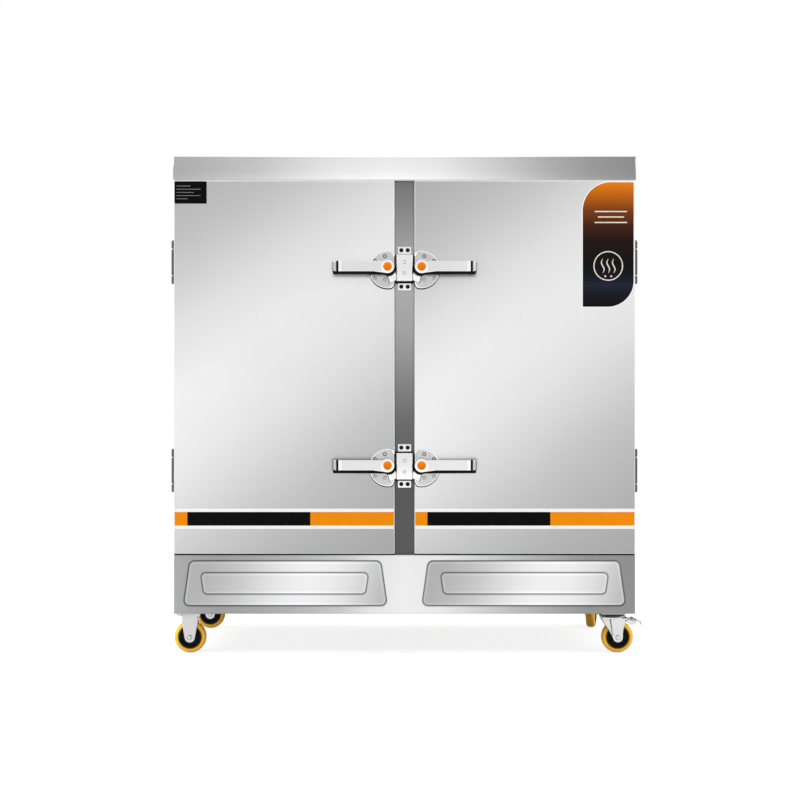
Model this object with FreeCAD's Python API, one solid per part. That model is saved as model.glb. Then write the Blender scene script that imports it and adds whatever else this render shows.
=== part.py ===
import FreeCAD, Part
import math
import os

from FreeCAD import Vector

# Rice steamer cabinet with two doors, in millimetres. X runs to the right seen from the front,
# the front faces -Y and Z is up. The origin is on the floor under the middle of the cabinet.
# "Out" values are distances from the middle plane, so one function makes a left or a right piece.

LEFT = -1
RIGHT = 1
SIDES = (LEFT, RIGHT)
SIDE_NAMES = {LEFT: "left", RIGHT: "right"}

# Trays and the racks that carry them
tray_width = 600.0
tray_depth = 400.0
tray_height = 48.0
tray_sheet = 1.5
tray_rim_width = 17.0
tray_taper = 12.0
tray_corner_radius = 24.0
tray_level = 7
tray_lift = 0.3
tray_side_gap = 4.0
tray_front_gap = 34.0
tray_rear_gap = 81.0
rack_levels = 12
rack_pitch = 88.0
rack_first_level = 60.0
rack_top_gap = 52.0
rack_bar_width = 18.0
rack_bar_thickness = 3.0
rack_bar_overhang = 15.0
rack_upright_thickness = 6.0
rack_upright_width = 24.0
rack_upright_from_end = 40.0

# Insulated walls
sheet = 1.5
frame_sheet = 2.0
side_wall = 40.0
back_wall = 43.0
floor_wall = 43.0
roof_wall = 40.0
partition = 110.0

# Doors and the post between them
door_thickness = 50.0
door_seam = 3.0
door_plug_height = 6.0
door_plug_inset = 50.0
gasket_thickness = 8.0
gasket_width = 16.0
gasket_inset = 6.0
soft_clearance = 0.3
post_width = 58.0
post_gap = 2.0
post_recess = 12.0

# Top cap and base box
cap_height = 72.0
cap_overhang = 3.0
cap_front_overhang = 2.0
cap_lip = 28.0
base_height = 183.0
base_panel_sheet = 2.5

# Pressed outlines of the base front panel
outline_out = 686.0
outline_in = 53.5
outline_slope = 20.0
outline_low = 25.5
outline_high = 164.5
outline_corner = 17.0
inset_out = 633.0
inset_in = 111.0
inset_slope = 10.0
inset_low = 61.5
inset_high = 128.3
inset_corner = 14.0
groove_width = 4.0
groove_depth = 1.2

# Hinges
hinge_height = 130.0
hinge_end_knuckle = 24.5
hinge_rest_gap = 0.4
hinge_top_gap = 1.2
hinge_barrel_radius = 7.0
hinge_pin_radius = 4.0
hinge_pin_head_radius = 6.0
hinge_pin_head_height = 3.0
hinge_leaf_thickness = 3.0
hinge_leaf_width = 40.0
hinge_leaf_setback = 8.5
upper_hinge_from_top = 248.5
lower_hinge_from_bottom = 256.0
running_clearance = 0.05

# Lever latches
latch_pivot_out = 52.5
upper_latch_from_top = 268.5
lower_latch_from_bottom = 275.3
latch_plate_radius = 58.0
latch_plate_centre_out = 51.4
latch_plate_drop = 7.6
latch_plate_thickness = 6.0
latch_plate_corner = 13.0
latch_plate_margin = 0.5
latch_screw_head_radius = 6.0
latch_screw_head_height = 2.0
latch_screw_radius = 2.5
latch_screw_length = 11.0
latch_stud_radius = 6.0
latch_layer_gap = 2.0
hub_rest_gap = 0.3
tongue_thickness = 8.0
tongue_reach = 26.7
lever_length = 170.0
lever_height = 34.0
lever_thickness = 7.0
lever_curl_radius = 14.0
lever_curl_return = 5.0
lever_edge_radius = 1.5
boss_radius = 21.5
boss_thickness = 15.0
hub_radius = 14.0
cap_disc_radius = 13.5
cap_disc_thickness = 4.0
cap_plug_radius = 9.0
cap_plug_depth = 3.0

# Keepers on the post
keeper_drop = 3.0
keeper_width = 49.0
keeper_box_height = 81.4
keeper_wall = 3.0
keeper_face_thickness = 4.0
keeper_tongue_gap = 1.5
keeper_tab_width = 41.4
keeper_tab_height = 27.0
keeper_tab_thickness = 3.0
keeper_screw_spacing = 20.0
keeper_screw_past_middle = 2.5
keeper_screw_radius = 2.5
keeper_screw_head_radius = 5.8
keeper_screw_head_height = 3.0
keeper_rivet_radius = 4.5
keeper_rivet_height = 1.2
keeper_rivet_spacing = 34.0

# Casters
wheel_radius = 50.0
tyre_width = 32.0
tyre_inner_radius = 36.0
tyre_edge_radius = 9.0
core_rim_thickness = 6.0
core_rim_width = 30.0
core_web_thickness = 10.0
core_hub_radius = 14.0
core_hub_width = 35.0
axle_radius = 5.0
axle_head_radius = 8.5
axle_head_height = 5.0
fork_gap = 36.0
fork_sheet = 3.0
fork_tip_radius = 16.0
fork_half_width = 24.5
fork_shoulder = 45.0
crown_gap = 9.0
race_height = 15.0
race_radius = 41.0
race_split = 10.0
race_gap = 0.3
crown_radius = 38.0
kingpin_radius = 6.0
kingpin_head_radius = 11.0
kingpin_head_height = 5.2
caster_plate_thickness = 5.0
caster_plate_width = 76.0
caster_plate_length = 104.0
caster_bolt_spacing_x = 56.0
caster_bolt_spacing_y = 84.0
caster_bolt_radius = 5.0
caster_bolt_head_radius = 8.0
caster_bolt_head_height = 6.0
caster_nut_height = 8.0
rigid_caster_inset = 41.0
swivel_caster_inset = 63.0
caster_end_inset = 74.0
caster_trail = 18.0
rear_swivel_turn = 77.0
pedal_pivot_ahead = 26.0
pedal_pivot_rise = 52.0
pedal_pin_radius = 3.0
pedal_barrel_radius = 5.5
pedal_width = 28.0
pedal_play = 0.5

# Base frame, water tank and the fittings at the back
frame_tube = 38.0
frame_tube_wall = 2.0
caster_pad_thickness = 5.0
tank_sheet = 1.5
tank_end_gap = 55.0
tank_rest = 14.0
tank_lid_gap = 13.5
riser_radius = 35.0
riser_wall = 1.5
riser_seat = 5.0
heater_tube_radius = 6.0
heater_leg_spacing = 50.0
heater_pitch = 100.0
heater_length = 860.0
heater_rise = 24.0
heater_flange_thickness = 6.0
heater_head_length = 32.0
drain_out = 120.0
drain_y = 150.0
drain_drop = 90.0
drain_radius = 10.5
drain_bore = 8.5
drain_bend = 25.0
drain_run = 20.0
valve_nut_radius = 15.0
valve_nut_length = 14.0
valve_ball_radius = 17.0
valve_ball_length = 26.0
valve_socket_depth = 7.0
valve_stem_radius = 4.0
valve_neck_radius = 7.0
valve_neck_rise = 2.0
valve_stem_height = 8.5
outlet_thread_radius = 13.2
outlet_thread_length = 18.0
valve_lever_length = 95.0
valve_lever_width = 16.0
valve_lever_thickness = 3.0
valve_lever_hub_radius = 10.0
valve_lever_hub_height = 6.0
box_sheet = 2.0
box_flange = 8.0
box_tank_gap = 2.0
refill_out = 545.0
refill_width = 150.0
refill_proud = 26.0
refill_lid_thickness = 3.0
refill_pipe_radius = 12.0
float_pivot_height = 80.0
float_pivot_inset = 15.0
float_pin_radius = 2.5
float_arm_length = 80.0
float_arm_radius = 2.5
float_ball_radius = 22.0
float_hub_radius = 6.0
float_hub_width = 8.0
float_lug_thickness = 6.0
inlet_thread_radius = 10.5
inlet_thread_length = 20.0
inlet_collar_radius = 14.0
inlet_collar_height = 10.0
inlet_neck_radius = 8.0
inlet_bore = 6.0
inlet_from_back = 48.0
control_out = 525.0
control_width = 190.0
control_height = 110.0
control_inside = 60.0
control_proud = 22.0
gland_radius = 12.0
gland_length = 20.0
gland_bore = 5.0
gland_from_back = 46.0
knob_radius = 18.0
knob_depth = 14.0
knob_gap = 1.0
knob_spindle_radius = 4.0
knob_spindle_length = 10.0
knob_from_middle = 25.0
vent_radius = 20.0
vent_wall = 2.0
vent_length = 26.0
vent_flange_radius = 32.0
vent_flange_thickness = 3.0
vent_below_roof = 60.0

# The cabinet's width, depth and height follow from the trays and the walls
chamber_width = tray_width + 2 * (tray_side_gap + rack_upright_thickness)
chamber_depth = tray_depth + tray_front_gap + tray_rear_gap
chamber_height = rack_first_level + (rack_levels - 1) * rack_pitch + rack_top_gap
half_width = partition / 2 + chamber_width + side_wall
body_depth = door_thickness + gasket_thickness + frame_sheet + chamber_depth + back_wall
front = -body_depth / 2
back = body_depth / 2
door_back = front + door_thickness
frame_front = door_back + gasket_thickness
frame_back = frame_front + frame_sheet
chamber_in = partition / 2
chamber_out = chamber_in + chamber_width
chamber_middle = (chamber_in + chamber_out) / 2
chamber_back = frame_back + chamber_depth

# Heights, from the floor up
fork_crown_top = 2 * wheel_radius + crown_gap + fork_sheet
caster_plate_bottom = fork_crown_top + race_height
base_bottom = caster_plate_bottom + caster_plate_thickness
base_top = base_bottom + base_height
door_bottom = base_top + door_seam
chamber_bottom = base_top + floor_wall
chamber_top = chamber_bottom + chamber_height
cap_bottom = chamber_top + roof_wall
door_top = cap_bottom - door_seam
cap_top = cap_bottom + cap_height
frame_bottom = base_bottom + caster_pad_thickness
frame_top = frame_bottom + frame_tube
tank_top = base_top - tank_lid_gap - sheet

# Post, door edges, hinges and latches
post_face = front + post_recess
door_in = post_width / 2 + post_gap
door_out = half_width
hinge_out = half_width + hinge_barrel_radius + sheet
hinge_heights = (door_top - upper_hinge_from_top, door_bottom + lower_hinge_from_bottom)
latch_heights = (door_top - upper_latch_from_top, door_bottom + lower_latch_from_bottom)
LATCH_NAMES = ("upper", "lower")
plate_face = front - latch_plate_thickness
tongue_back = plate_face - latch_layer_gap
tongue_face = tongue_back - tongue_thickness
boss_face = tongue_face - boss_thickness
keeper_inner_face = tongue_face - keeper_tongue_gap
keeper_outer_face = keeper_inner_face - keeper_face_thickness

# Caster places
caster_y = body_depth / 2 - caster_end_inset
rigid_out = half_width - rigid_caster_inset
swivel_out = half_width - swivel_caster_inset
CASTER_ENDS = {"front": -caster_y, "rear": caster_y}
swivel_turns = {"front": 0.0, "rear": rear_swivel_turn}

# Tank and boxes in the base
tank_half_length = rigid_out - frame_tube / 2 - tank_end_gap
tank_half_depth = caster_y - frame_tube / 2 + tank_rest
box_front = tank_half_depth + box_tank_gap
heater_height = frame_top + heater_rise
drain_axis_height = frame_top - drain_drop
valve_start = drain_y + drain_bend + drain_run - valve_socket_depth
valve_ball_start = valve_start + valve_nut_length
valve_ball_end = valve_ball_start + valve_ball_length
outlet_start = valve_ball_end + valve_nut_length
valve_stem_y = (valve_ball_start + valve_ball_end) / 2
control_front = back - control_inside
control_face = back + control_proud
knob_out = control_out - knob_from_middle
knob_height = frame_top + control_height / 2
float_pivot_y = (box_front + back + refill_proud) / 2


def block(x_pair, y_pair, z_pair):
    """Box between two values on each axis, given in any order."""
    x_low, x_high = sorted(x_pair)
    y_low, y_high = sorted(y_pair)
    z_low, z_high = sorted(z_pair)
    corner = Vector(x_low, y_low, z_low)
    return Part.makeBox(x_high - x_low, y_high - y_low, z_high - z_low, corner)


def sided_block(side, out_pair, y_pair, z_pair):
    """Box on one side of the middle plane, from distances out."""
    return block([side * out for out in out_pair], y_pair, z_pair)


def rod(axis, radius, start, end, across, up):
    """Cylinder along X, Y or Z from start to end; across and up are its other two places."""
    low, high = sorted((start, end))
    if axis == "X":
        return Part.makeCylinder(radius, high - low, Vector(low, across, up), Vector(1, 0, 0))
    if axis == "Y":
        return Part.makeCylinder(radius, high - low, Vector(across, low, up), Vector(0, 1, 0))
    return Part.makeCylinder(radius, high - low, Vector(across, up, low), Vector(0, 0, 1))


def joined(shapes):
    """One solid from pieces that touch or overlap."""
    result = shapes[0].fuse(shapes[1:]) if len(shapes) > 1 else shapes[0]
    return result.removeSplitter()


def without(shape, tools):
    """A shape less every tool."""
    return shape.cut(tools) if tools else shape


def plate_xz(points, y_pair):
    """Straight-sided plate from (x, z) points, between two Y values."""
    y_low, y_high = sorted(y_pair)
    corners = [Vector(x, y_low, z) for x, z in points]
    face = Part.Face(Part.makePolygon(corners + corners[:1]))
    return face.extrude(Vector(0, y_high - y_low, 0))


def rounded_wire(points, radius, y):
    """Closed outline in the XZ plane at y, its corners rounded to one radius."""
    edges = []
    starts = []
    ends = []
    mids = []
    count = len(points)
    for index in range(count):
        corner = Vector(points[index][0], y, points[index][1])
        before = Vector(points[index - 1][0], y, points[index - 1][1])
        after = Vector(points[(index + 1) % count][0], y, points[(index + 1) % count][1])
        to_before = (before - corner).normalize()
        to_after = (after - corner).normalize()
        half = to_before.getAngle(to_after) / 2
        reach = radius / math.tan(half)
        bisector = (to_before + to_after).normalize()
        centre = corner + bisector * (radius / math.sin(half))
        starts.append(corner + to_before * reach)
        ends.append(corner + to_after * reach)
        mids.append(centre - bisector * radius)
    for index in range(count):
        edges.append(Part.Arc(starts[index], mids[index], ends[index]).toShape())
        edges.append(Part.LineSegment(ends[index], starts[(index + 1) % count]).toShape())
    return Part.Wire(edges)


def swung(shape, centre_x, centre_y, degrees):
    """A shape turned about an upright line."""
    turned = shape.copy()
    turned.rotate(Vector(centre_x, centre_y, 0), Vector(0, 0, 1), degrees)
    return turned


def riser_holes(radius, z_pair):
    """Upright cylinders where steam rises into the two chambers."""
    return [rod("Z", radius, z_pair[0], z_pair[1], side * chamber_middle, 0.0) for side in SIDES]


def vent_rod(side, radius, y_pair):
    """Cylinder on the line of one chamber's steam vent."""
    return rod("Y", radius, y_pair[0], y_pair[1], side * chamber_middle, chamber_top - vent_below_roof)


# The cabinet body


def side_panels():
    """Outer skins of the two sides."""
    return [
        sided_block(
            side, (half_width - sheet, half_width), (frame_front, back - sheet), (base_top, cap_bottom)
        )
        for side in SIDES
    ]


def back_panel():
    """Outer skin of the back, with a hole for each steam vent."""
    skin = block((-half_width, half_width), (back - sheet, back), (base_top, cap_bottom))
    through = (back - 2 * sheet, back + sheet)
    return [without(skin, [vent_rod(side, vent_radius, through) for side in SIDES])]


def chamber_space(side, y_pair, grow=0.0):
    """The box of one chamber, or a slightly larger one."""
    outs = (chamber_in - grow, chamber_out + grow)
    return sided_block(side, outs, y_pair, (chamber_bottom - grow, chamber_top + grow))


def front_frame():
    """Sheet frame round the two chamber mouths, on which the gaskets close."""
    inner = half_width - sheet
    face = block((-inner, inner), (frame_front, frame_back), (base_top, cap_bottom))
    through = (frame_front - sheet, frame_back + sheet)
    return [without(face, [chamber_space(side, through) for side in SIDES])]


def chamber_liner(side):
    """Open-fronted inner box of one chamber, with its steam riser and its vent hole."""
    shell = chamber_space(side, (frame_back, chamber_back + sheet), sheet)
    riser = rod("Z", riser_radius, tank_top - riser_seat, chamber_bottom, side * chamber_middle, 0.0)
    space = chamber_space(side, (frame_back - sheet, chamber_back))
    bore_bottom = tank_top - 2 * riser_seat
    bore = rod("Z", riser_radius - riser_wall, bore_bottom, chamber_top, side * chamber_middle, 0.0)
    vent = vent_rod(side, vent_radius, (chamber_back - sheet, chamber_back + 2 * sheet))
    return without(joined([shell, riser]), [space, bore, vent])


def insulation():
    """Foam that fills the walls between the skins and the liners."""
    inner = half_width - sheet
    foam = block((-inner, inner), (frame_back, back - sheet), (base_top, cap_bottom))
    tools = [chamber_space(side, (frame_back - sheet, chamber_back + sheet), sheet) for side in SIDES]
    tools += riser_holes(riser_radius, (base_top - sheet, chamber_bottom))
    tools += [vent_rod(side, vent_radius, (chamber_back, back)) for side in SIDES]
    return [without(foam, tools)]


def post_cover():
    """Channel that covers the gap between the doors, set back behind their fronts."""
    half = post_width / 2
    outer = block((-half, half), (post_face, frame_front), (base_top, cap_bottom))
    inner_half = half - sheet
    inner_y = (post_face + sheet, frame_front + sheet)
    inner = block((-inner_half, inner_half), inner_y, (base_top, cap_bottom))
    holes = [screw for height in latch_heights for screw in keeper_screws_at(height)]
    return [without(outer.cut(inner), holes)]


def top_cap():
    """Folded cap with its front fascia; a lip turned in underneath rests on the walls."""
    x_half = half_width + cap_overhang
    y_front = front - cap_front_overhang
    y_back = back + cap_front_overhang
    outer = block((-x_half, x_half), (y_front, y_back), (cap_bottom, cap_top))
    inner = block(
        (sheet - x_half, x_half - sheet),
        (y_front + sheet, y_back - sheet),
        (cap_bottom + sheet, cap_top - sheet),
    )
    window = block(
        (cap_lip - x_half, x_half - cap_lip),
        (frame_back + cap_lip, y_back - cap_lip),
        (cap_bottom - sheet, cap_bottom + 2 * sheet),
    )
    return [outer.cut([inner, window])]


# Doors


def door_outs(inset):
    """Distances out of a door's two edges, moved in by an inset."""
    return (door_in + inset, door_out - inset)


def door_heights(inset):
    """Heights of a door's two edges, moved in by an inset."""
    return (door_bottom + inset, door_top - inset)


def ring_strips(side, outer_inset, inner_inset, y_pair):
    """Four straight strips of a door between two insets from its edges."""
    outs, inner_outs = door_outs(outer_inset), door_outs(inner_inset)
    rises, inner_rises = door_heights(outer_inset), door_heights(inner_inset)
    return [
        sided_block(side, outs, y_pair, (inner_rises[1], rises[1])),
        sided_block(side, outs, y_pair, (rises[0], inner_rises[0])),
        sided_block(side, (outs[0], inner_outs[0]), y_pair, inner_rises),
        sided_block(side, (inner_outs[1], outs[1]), y_pair, inner_rises),
    ]


def door_skin(side):
    """Outer pan of a door: its front sheet, then its four folded edges."""
    face = sided_block(side, door_outs(0.0), (front, front + sheet), door_heights(0.0))
    folds = ring_strips(side, 0.0, sheet, (front + sheet, door_back - sheet))
    return [without(face, latch_screws(side))] + folds


def door_liner(side):
    """Inner sheets of a door: a flat rim, and a raised middle that faces the chamber."""
    inset = door_plug_inset
    plug_back = door_back + door_plug_height
    rim = ring_strips(side, 0.0, inset + sheet, (door_back - sheet, door_back))
    walls = ring_strips(side, inset, inset + sheet, (door_back, plug_back - sheet))
    face = sided_block(side, door_outs(inset), (plug_back - sheet, plug_back), door_heights(inset))
    return rim + walls + [face]


def door_core(side):
    """Foam inside a door."""
    slab = sided_block(side, door_outs(sheet), (front + sheet, door_back - sheet), door_heights(sheet))
    inset = door_plug_inset + sheet
    plug_back = door_back + door_plug_height - sheet
    raised = sided_block(side, door_outs(inset), (door_back - 2 * sheet, plug_back), door_heights(inset))
    return without(joined([slab, raised]), latch_screws(side))


def door_gasket(side):
    """Rubber ring on a door's inner face, almost touching the front frame."""
    y_pair = (door_back, frame_front - soft_clearance)
    ring = sided_block(side, door_outs(gasket_inset), y_pair, door_heights(gasket_inset))
    inner = gasket_inset + gasket_width
    middle = (door_back - sheet, frame_front + sheet)
    return ring.cut(sided_block(side, door_outs(inner), middle, door_heights(inner)))


# Hinges


def hinge_knuckle(side, z_pair, bore_radius):
    """One knuckle of a barrel hinge, with its hole."""
    x = side * hinge_out
    outer = rod("Z", hinge_barrel_radius, z_pair[0], z_pair[1], x, door_back)
    return outer.cut(rod("Z", bore_radius, z_pair[0], z_pair[1], x, door_back))


def hinge_strip(side, y_pair, z_pair):
    """Flat part of a hinge leaf, lying on the side of the door or the cabinet."""
    return sided_block(side, (half_width, half_width + hinge_leaf_thickness), y_pair, z_pair)


def hinge_levels(middle):
    """Heights where the knuckles of one hinge start and end."""
    low = middle - hinge_height / 2
    high = middle + hinge_height / 2
    return low, low + hinge_end_knuckle, high - hinge_end_knuckle, high


def frame_hinge_leaf(side, middle):
    """Leaf on the cabinet's side, with the bottom and the top knuckle."""
    low, first, last, high = hinge_levels(middle)
    flat_start = door_back + hinge_leaf_setback
    pin_hole = rod("Z", hinge_pin_radius, low, high, side * hinge_out, door_back)
    pieces = [hinge_strip(side, (flat_start, flat_start + hinge_leaf_width), (low, high))]
    for z_pair in ((low, first), (last, high)):
        pieces.append(hinge_knuckle(side, z_pair, hinge_pin_radius))
        pieces.append(hinge_strip(side, (door_back, flat_start), z_pair))
    return joined(pieces).cut(pin_hole)


def hinge_pin(side, middle):
    """Pin held in the frame leaf's knuckles, with a flat head at each end."""
    low, _, _, high = hinge_levels(middle)
    x = side * hinge_out
    pieces = [rod("Z", hinge_pin_radius, low, high, x, door_back)]
    for start, step in ((low, -hinge_pin_head_height), (high, hinge_pin_head_height)):
        pieces.append(rod("Z", hinge_pin_head_radius, start, start + step, x, door_back))
    return joined(pieces)


def door_hinge_leaf(side, middle):
    """Leaf on the door's edge, with the middle knuckle."""
    low, first, last, high = hinge_levels(middle)
    z_pair = (first + hinge_rest_gap, last - hinge_top_gap)
    flat_end = door_back - hinge_leaf_setback
    bore = rod("Z", hinge_pin_radius + running_clearance, low, high, side * hinge_out, door_back)
    pieces = [
        hinge_strip(side, (flat_end - hinge_leaf_width, flat_end), (low, high)),
        hinge_knuckle(side, z_pair, hinge_pin_radius + running_clearance),
        hinge_strip(side, (flat_end, door_back), z_pair),
    ]
    return joined(pieces).cut(bore)


def frame_hinge_leaves():
    """All hinge leaves on the cabinet with their pins."""
    pieces = []
    for side in SIDES:
        for middle in hinge_heights:
            pieces.append(frame_hinge_leaf(side, middle))
            pieces.append(hinge_pin(side, middle))
    return pieces


# Latches

# Each latch screw's distance out from the pivot and height over the plate's middle
LATCH_SCREW_PLACES = ((8.4, 41.4), (39.4, 26.8), (39.4, -26.8), (8.4, -31.4))


def latch_screws_at(side, height):
    """Countersunk screws of one latch plate, heads level with the plate's face."""
    screws = []
    for out, rise in LATCH_SCREW_PLACES:
        x = side * (latch_pivot_out + out)
        z = height - latch_plate_drop + rise
        head = rod("Y", latch_screw_head_radius, plate_face, plate_face + latch_screw_head_height, x, z)
        shank = rod("Y", latch_screw_radius, plate_face, plate_face + latch_screw_length, x, z)
        screws.append(joined([head, shank]))
    return screws


def latch_screws(side):
    """Screws of both latch plates on one door."""
    return [screw for height in latch_heights for screw in latch_screws_at(side, height)]


def latch_plate(side, height):
    """D-shaped base plate with the stud that the lever turns on."""
    z = height - latch_plate_drop
    disc = rod("Y", latch_plate_radius, plate_face, front, side * latch_plate_centre_out, z)
    edge = door_in + latch_plate_margin
    far = latch_plate_centre_out + 2 * latch_plate_radius
    reach = 2 * latch_plate_radius
    keep = sided_block(side, (edge, far), (plate_face, front), (z - reach, z + reach))
    plate = disc.common(keep)
    corners = [
        e
        for e in plate.Edges
        if len(e.Vertexes) == 2
        and abs(e.Vertexes[0].Point.x - e.Vertexes[1].Point.x) < 1e-6
        and abs(e.Vertexes[0].Point.z - e.Vertexes[1].Point.z) < 1e-6
        and abs(abs(e.Vertexes[0].Point.x) - edge) < 1e-3
    ]
    plate = plate.makeFillet(latch_plate_corner, corners)
    plate = without(plate, latch_screws_at(side, height))
    stud_tip = boss_face + cap_plug_depth + hub_rest_gap
    stud = rod("Y", latch_stud_radius, stud_tip, plate_face, side * latch_pivot_out, height)
    return plate.fuse(stud)


def latch_plates(side):
    """Both latch plates of a door, each followed by its screws."""
    pieces = []
    for height in latch_heights:
        pieces.append(latch_plate(side, height))
        pieces += latch_screws_at(side, height)
    return pieces


def tongue_points(side, height):
    """Outline of the locking tongue below the boss, on the keeper's side."""
    places = (
        (-9.0, 4.0),
        (-7.0, 20.0),
        (1.5, 29.7),
        (7.7, 49.6),
        (tongue_reach, 40.5),
        (tongue_reach, 25.1),
        (19.0, 6.0),
    )
    return [(side * (latch_pivot_out - inward), height - down) for inward, down in places]


def lever_arm(side, height):
    """Flat arm with rounded edges, its end curled back towards the door."""
    tip = latch_pivot_out + lever_length
    turn = tip - lever_curl_radius
    z_pair = (height - lever_height / 2, height + lever_height / 2)
    arm_back = boss_face + lever_thickness
    curl_y = boss_face + lever_curl_radius
    flat = sided_block(side, (latch_pivot_out, turn), (boss_face, arm_back), z_pair)
    outer = rod("Z", lever_curl_radius, z_pair[0], z_pair[1], side * turn, curl_y)
    inner = rod("Z", lever_curl_radius - lever_thickness, z_pair[0], z_pair[1], side * turn, curl_y)
    quarter = sided_block(side, (turn, tip), (boss_face, curl_y), z_pair)
    curl = outer.cut(inner).common(quarter)
    y_end = curl_y + lever_curl_return
    end = sided_block(side, (tip - lever_thickness, tip), (curl_y, y_end), z_pair)
    arm = joined([flat, curl, end])
    long_edges = [
        e
        for e in arm.Edges
        if abs(e.BoundBox.ZMin - e.BoundBox.ZMax) < 1e-6
        and e.BoundBox.YMax < arm_back - 1e-3
        and e.BoundBox.XLength > lever_thickness
    ]
    return arm.makeFillet(lever_edge_radius, long_edges)


def latch_lever(side, height):
    """Lever, boss and tongue in one casting, bored for the stud and for the cap."""
    x = side * latch_pivot_out
    hub_back = plate_face - hub_rest_gap
    pieces = [
        rod("Y", boss_radius, boss_face, tongue_face, x, height),
        rod("Y", hub_radius, tongue_face, hub_back, x, height),
        plate_xz(tongue_points(side, height), (tongue_face, tongue_back)),
        lever_arm(side, height),
    ]
    bore = rod("Y", latch_stud_radius + running_clearance, boss_face, front, x, height)
    recess = rod("Y", cap_plug_radius, boss_face, boss_face + cap_plug_depth, x, height)
    return joined(pieces).cut([bore, recess])


def lever_cap(side, height):
    """Round cap pressed into the lever's boss."""
    x = side * latch_pivot_out
    disc = rod("Y", cap_disc_radius, boss_face - cap_disc_thickness, boss_face, x, height)
    rim = [e for e in disc.Edges if abs(e.BoundBox.YMax - boss_face + cap_disc_thickness) < 1e-6]
    disc = disc.makeFillet(cap_disc_thickness / 2, rim)
    return disc.fuse(rod("Y", cap_plug_radius, boss_face, boss_face + cap_plug_depth, x, height))


def keeper_screws_at(height):
    """Round-headed screws of one keeper, through its tabs and the post."""
    middle = height - keeper_drop
    rise = keeper_box_height / 2 + keeper_tab_height / 2 + keeper_screw_past_middle
    tab_face = post_face - keeper_tab_thickness
    screws = []
    for z in (middle - rise, middle + rise):
        for x in (-keeper_screw_spacing / 2, keeper_screw_spacing / 2):
            head = rod("Y", keeper_screw_head_radius, tab_face - keeper_screw_head_height, tab_face, x, z)
            rim = [e for e in head.Edges if e.BoundBox.YMax < tab_face - keeper_screw_head_height / 2]
            head = head.makeFillet(keeper_screw_head_height / 2, rim[:1])
            shank = rod("Y", keeper_screw_radius, tab_face, post_face + 2 * sheet, x, z)
            screws.append(joined([head, shank]))
    return screws


def keeper(height):
    """Hat-shaped catch on the post; the tongues pass into its open sides."""
    middle = height - keeper_drop
    box_half = keeper_box_height / 2
    x_half = keeper_width / 2
    hat = block((-x_half, x_half), (keeper_outer_face, post_face), (middle - box_half, middle + box_half))
    mouth_half = box_half - keeper_wall
    mouth_z = (middle - mouth_half, middle + mouth_half)
    mouth = block((-x_half, x_half), (keeper_inner_face, post_face), mouth_z)
    full = box_half + keeper_tab_height
    tab_half = keeper_tab_width / 2
    tab_face = post_face - keeper_tab_thickness
    tabs = block((-tab_half, tab_half), (tab_face, post_face), (middle - full, middle + full))
    between = block((-x_half, x_half), (tab_face, post_face), mouth_z)
    rivets = [
        rod("Y", keeper_rivet_radius, keeper_outer_face - keeper_rivet_height, keeper_outer_face, 0.0, z)
        for z in (middle - keeper_rivet_spacing / 2, middle + keeper_rivet_spacing / 2)
    ]
    body = joined([hat.cut(mouth), tabs.cut(between)] + rivets)
    return without(body, keeper_screws_at(height))


# Casters


def tyre(x, y):
    """Orange ring of a wheel with rounded shoulders."""
    half = tyre_width / 2
    ring = rod("Y", wheel_radius, y - half, y + half, x, wheel_radius)
    rims = [edge for edge in ring.Edges if edge.Curve.TypeId == "Part::GeomCircle"]
    ring = ring.makeFillet(tyre_edge_radius, rims)
    return ring.cut(rod("Y", tyre_inner_radius, y - half, y + half, x, wheel_radius))


def wheel_core(x, y):
    """Black wheel body of rim and thin web, and the hub sleeve pressed into it."""
    rim_half = core_rim_width / 2
    hub_half = core_hub_width / 2
    web_half = core_web_thickness / 2
    rim = rod("Y", tyre_inner_radius, y - rim_half, y + rim_half, x, wheel_radius)
    rim_inner = tyre_inner_radius - core_rim_thickness
    rim = rim.cut(rod("Y", rim_inner, y - rim_half, y + rim_half, x, wheel_radius))
    web = rod("Y", rim_inner, y - web_half, y + web_half, x, wheel_radius)
    hub = rod("Y", core_hub_radius, y - hub_half, y + hub_half, x, wheel_radius)
    bore = rod("Y", axle_radius + running_clearance, y - hub_half, y + hub_half, x, wheel_radius)
    return [joined([rim, web]).cut(hub), hub.cut(bore)]


def axle_bolt(x, y):
    """Axle through both fork legs with a head at each end."""
    leg_face = fork_gap / 2 + fork_sheet
    end = leg_face + axle_head_height
    pieces = [rod("Y", axle_radius, y - leg_face, y + leg_face, x, wheel_radius)]
    for low, high in ((y - end, y - leg_face), (y + leg_face, y + end)):
        pieces.append(rod("Y", axle_head_radius, low, high, x, wheel_radius))
    return joined(pieces)


def caster_plate(x, y):
    """Top plate of a caster with its four bolt holes."""
    x_half = caster_plate_width / 2
    y_half = caster_plate_length / 2
    plate = block((x - x_half, x + x_half), (y - y_half, y + y_half), (caster_plate_bottom, base_bottom))
    return without(plate, [bolt_shank(*place) for place in caster_bolt_places(x, y)])


def caster_bolt_places(x, y):
    """The four bolt places round one caster."""
    dx = caster_bolt_spacing_x / 2
    dy = caster_bolt_spacing_y / 2
    return [(x + i * dx, y + j * dy) for i in (-1, 1) for j in (-1, 1)]


def bolt_shank(x, y):
    """Cylinder of one caster bolt through plate and pad."""
    return rod("Z", caster_bolt_radius, caster_plate_bottom, frame_bottom, x, y)


def caster_bolt(x, y):
    """One bolt with its head below the plate and its nut on the pad."""
    head_low = caster_plate_bottom - caster_bolt_head_height
    head = rod("Z", caster_bolt_head_radius, head_low, caster_plate_bottom, x, y)
    nut = rod("Z", caster_bolt_head_radius, frame_bottom, frame_bottom + caster_nut_height, x, y)
    return joined([head, bolt_shank(x, y), nut])


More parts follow.
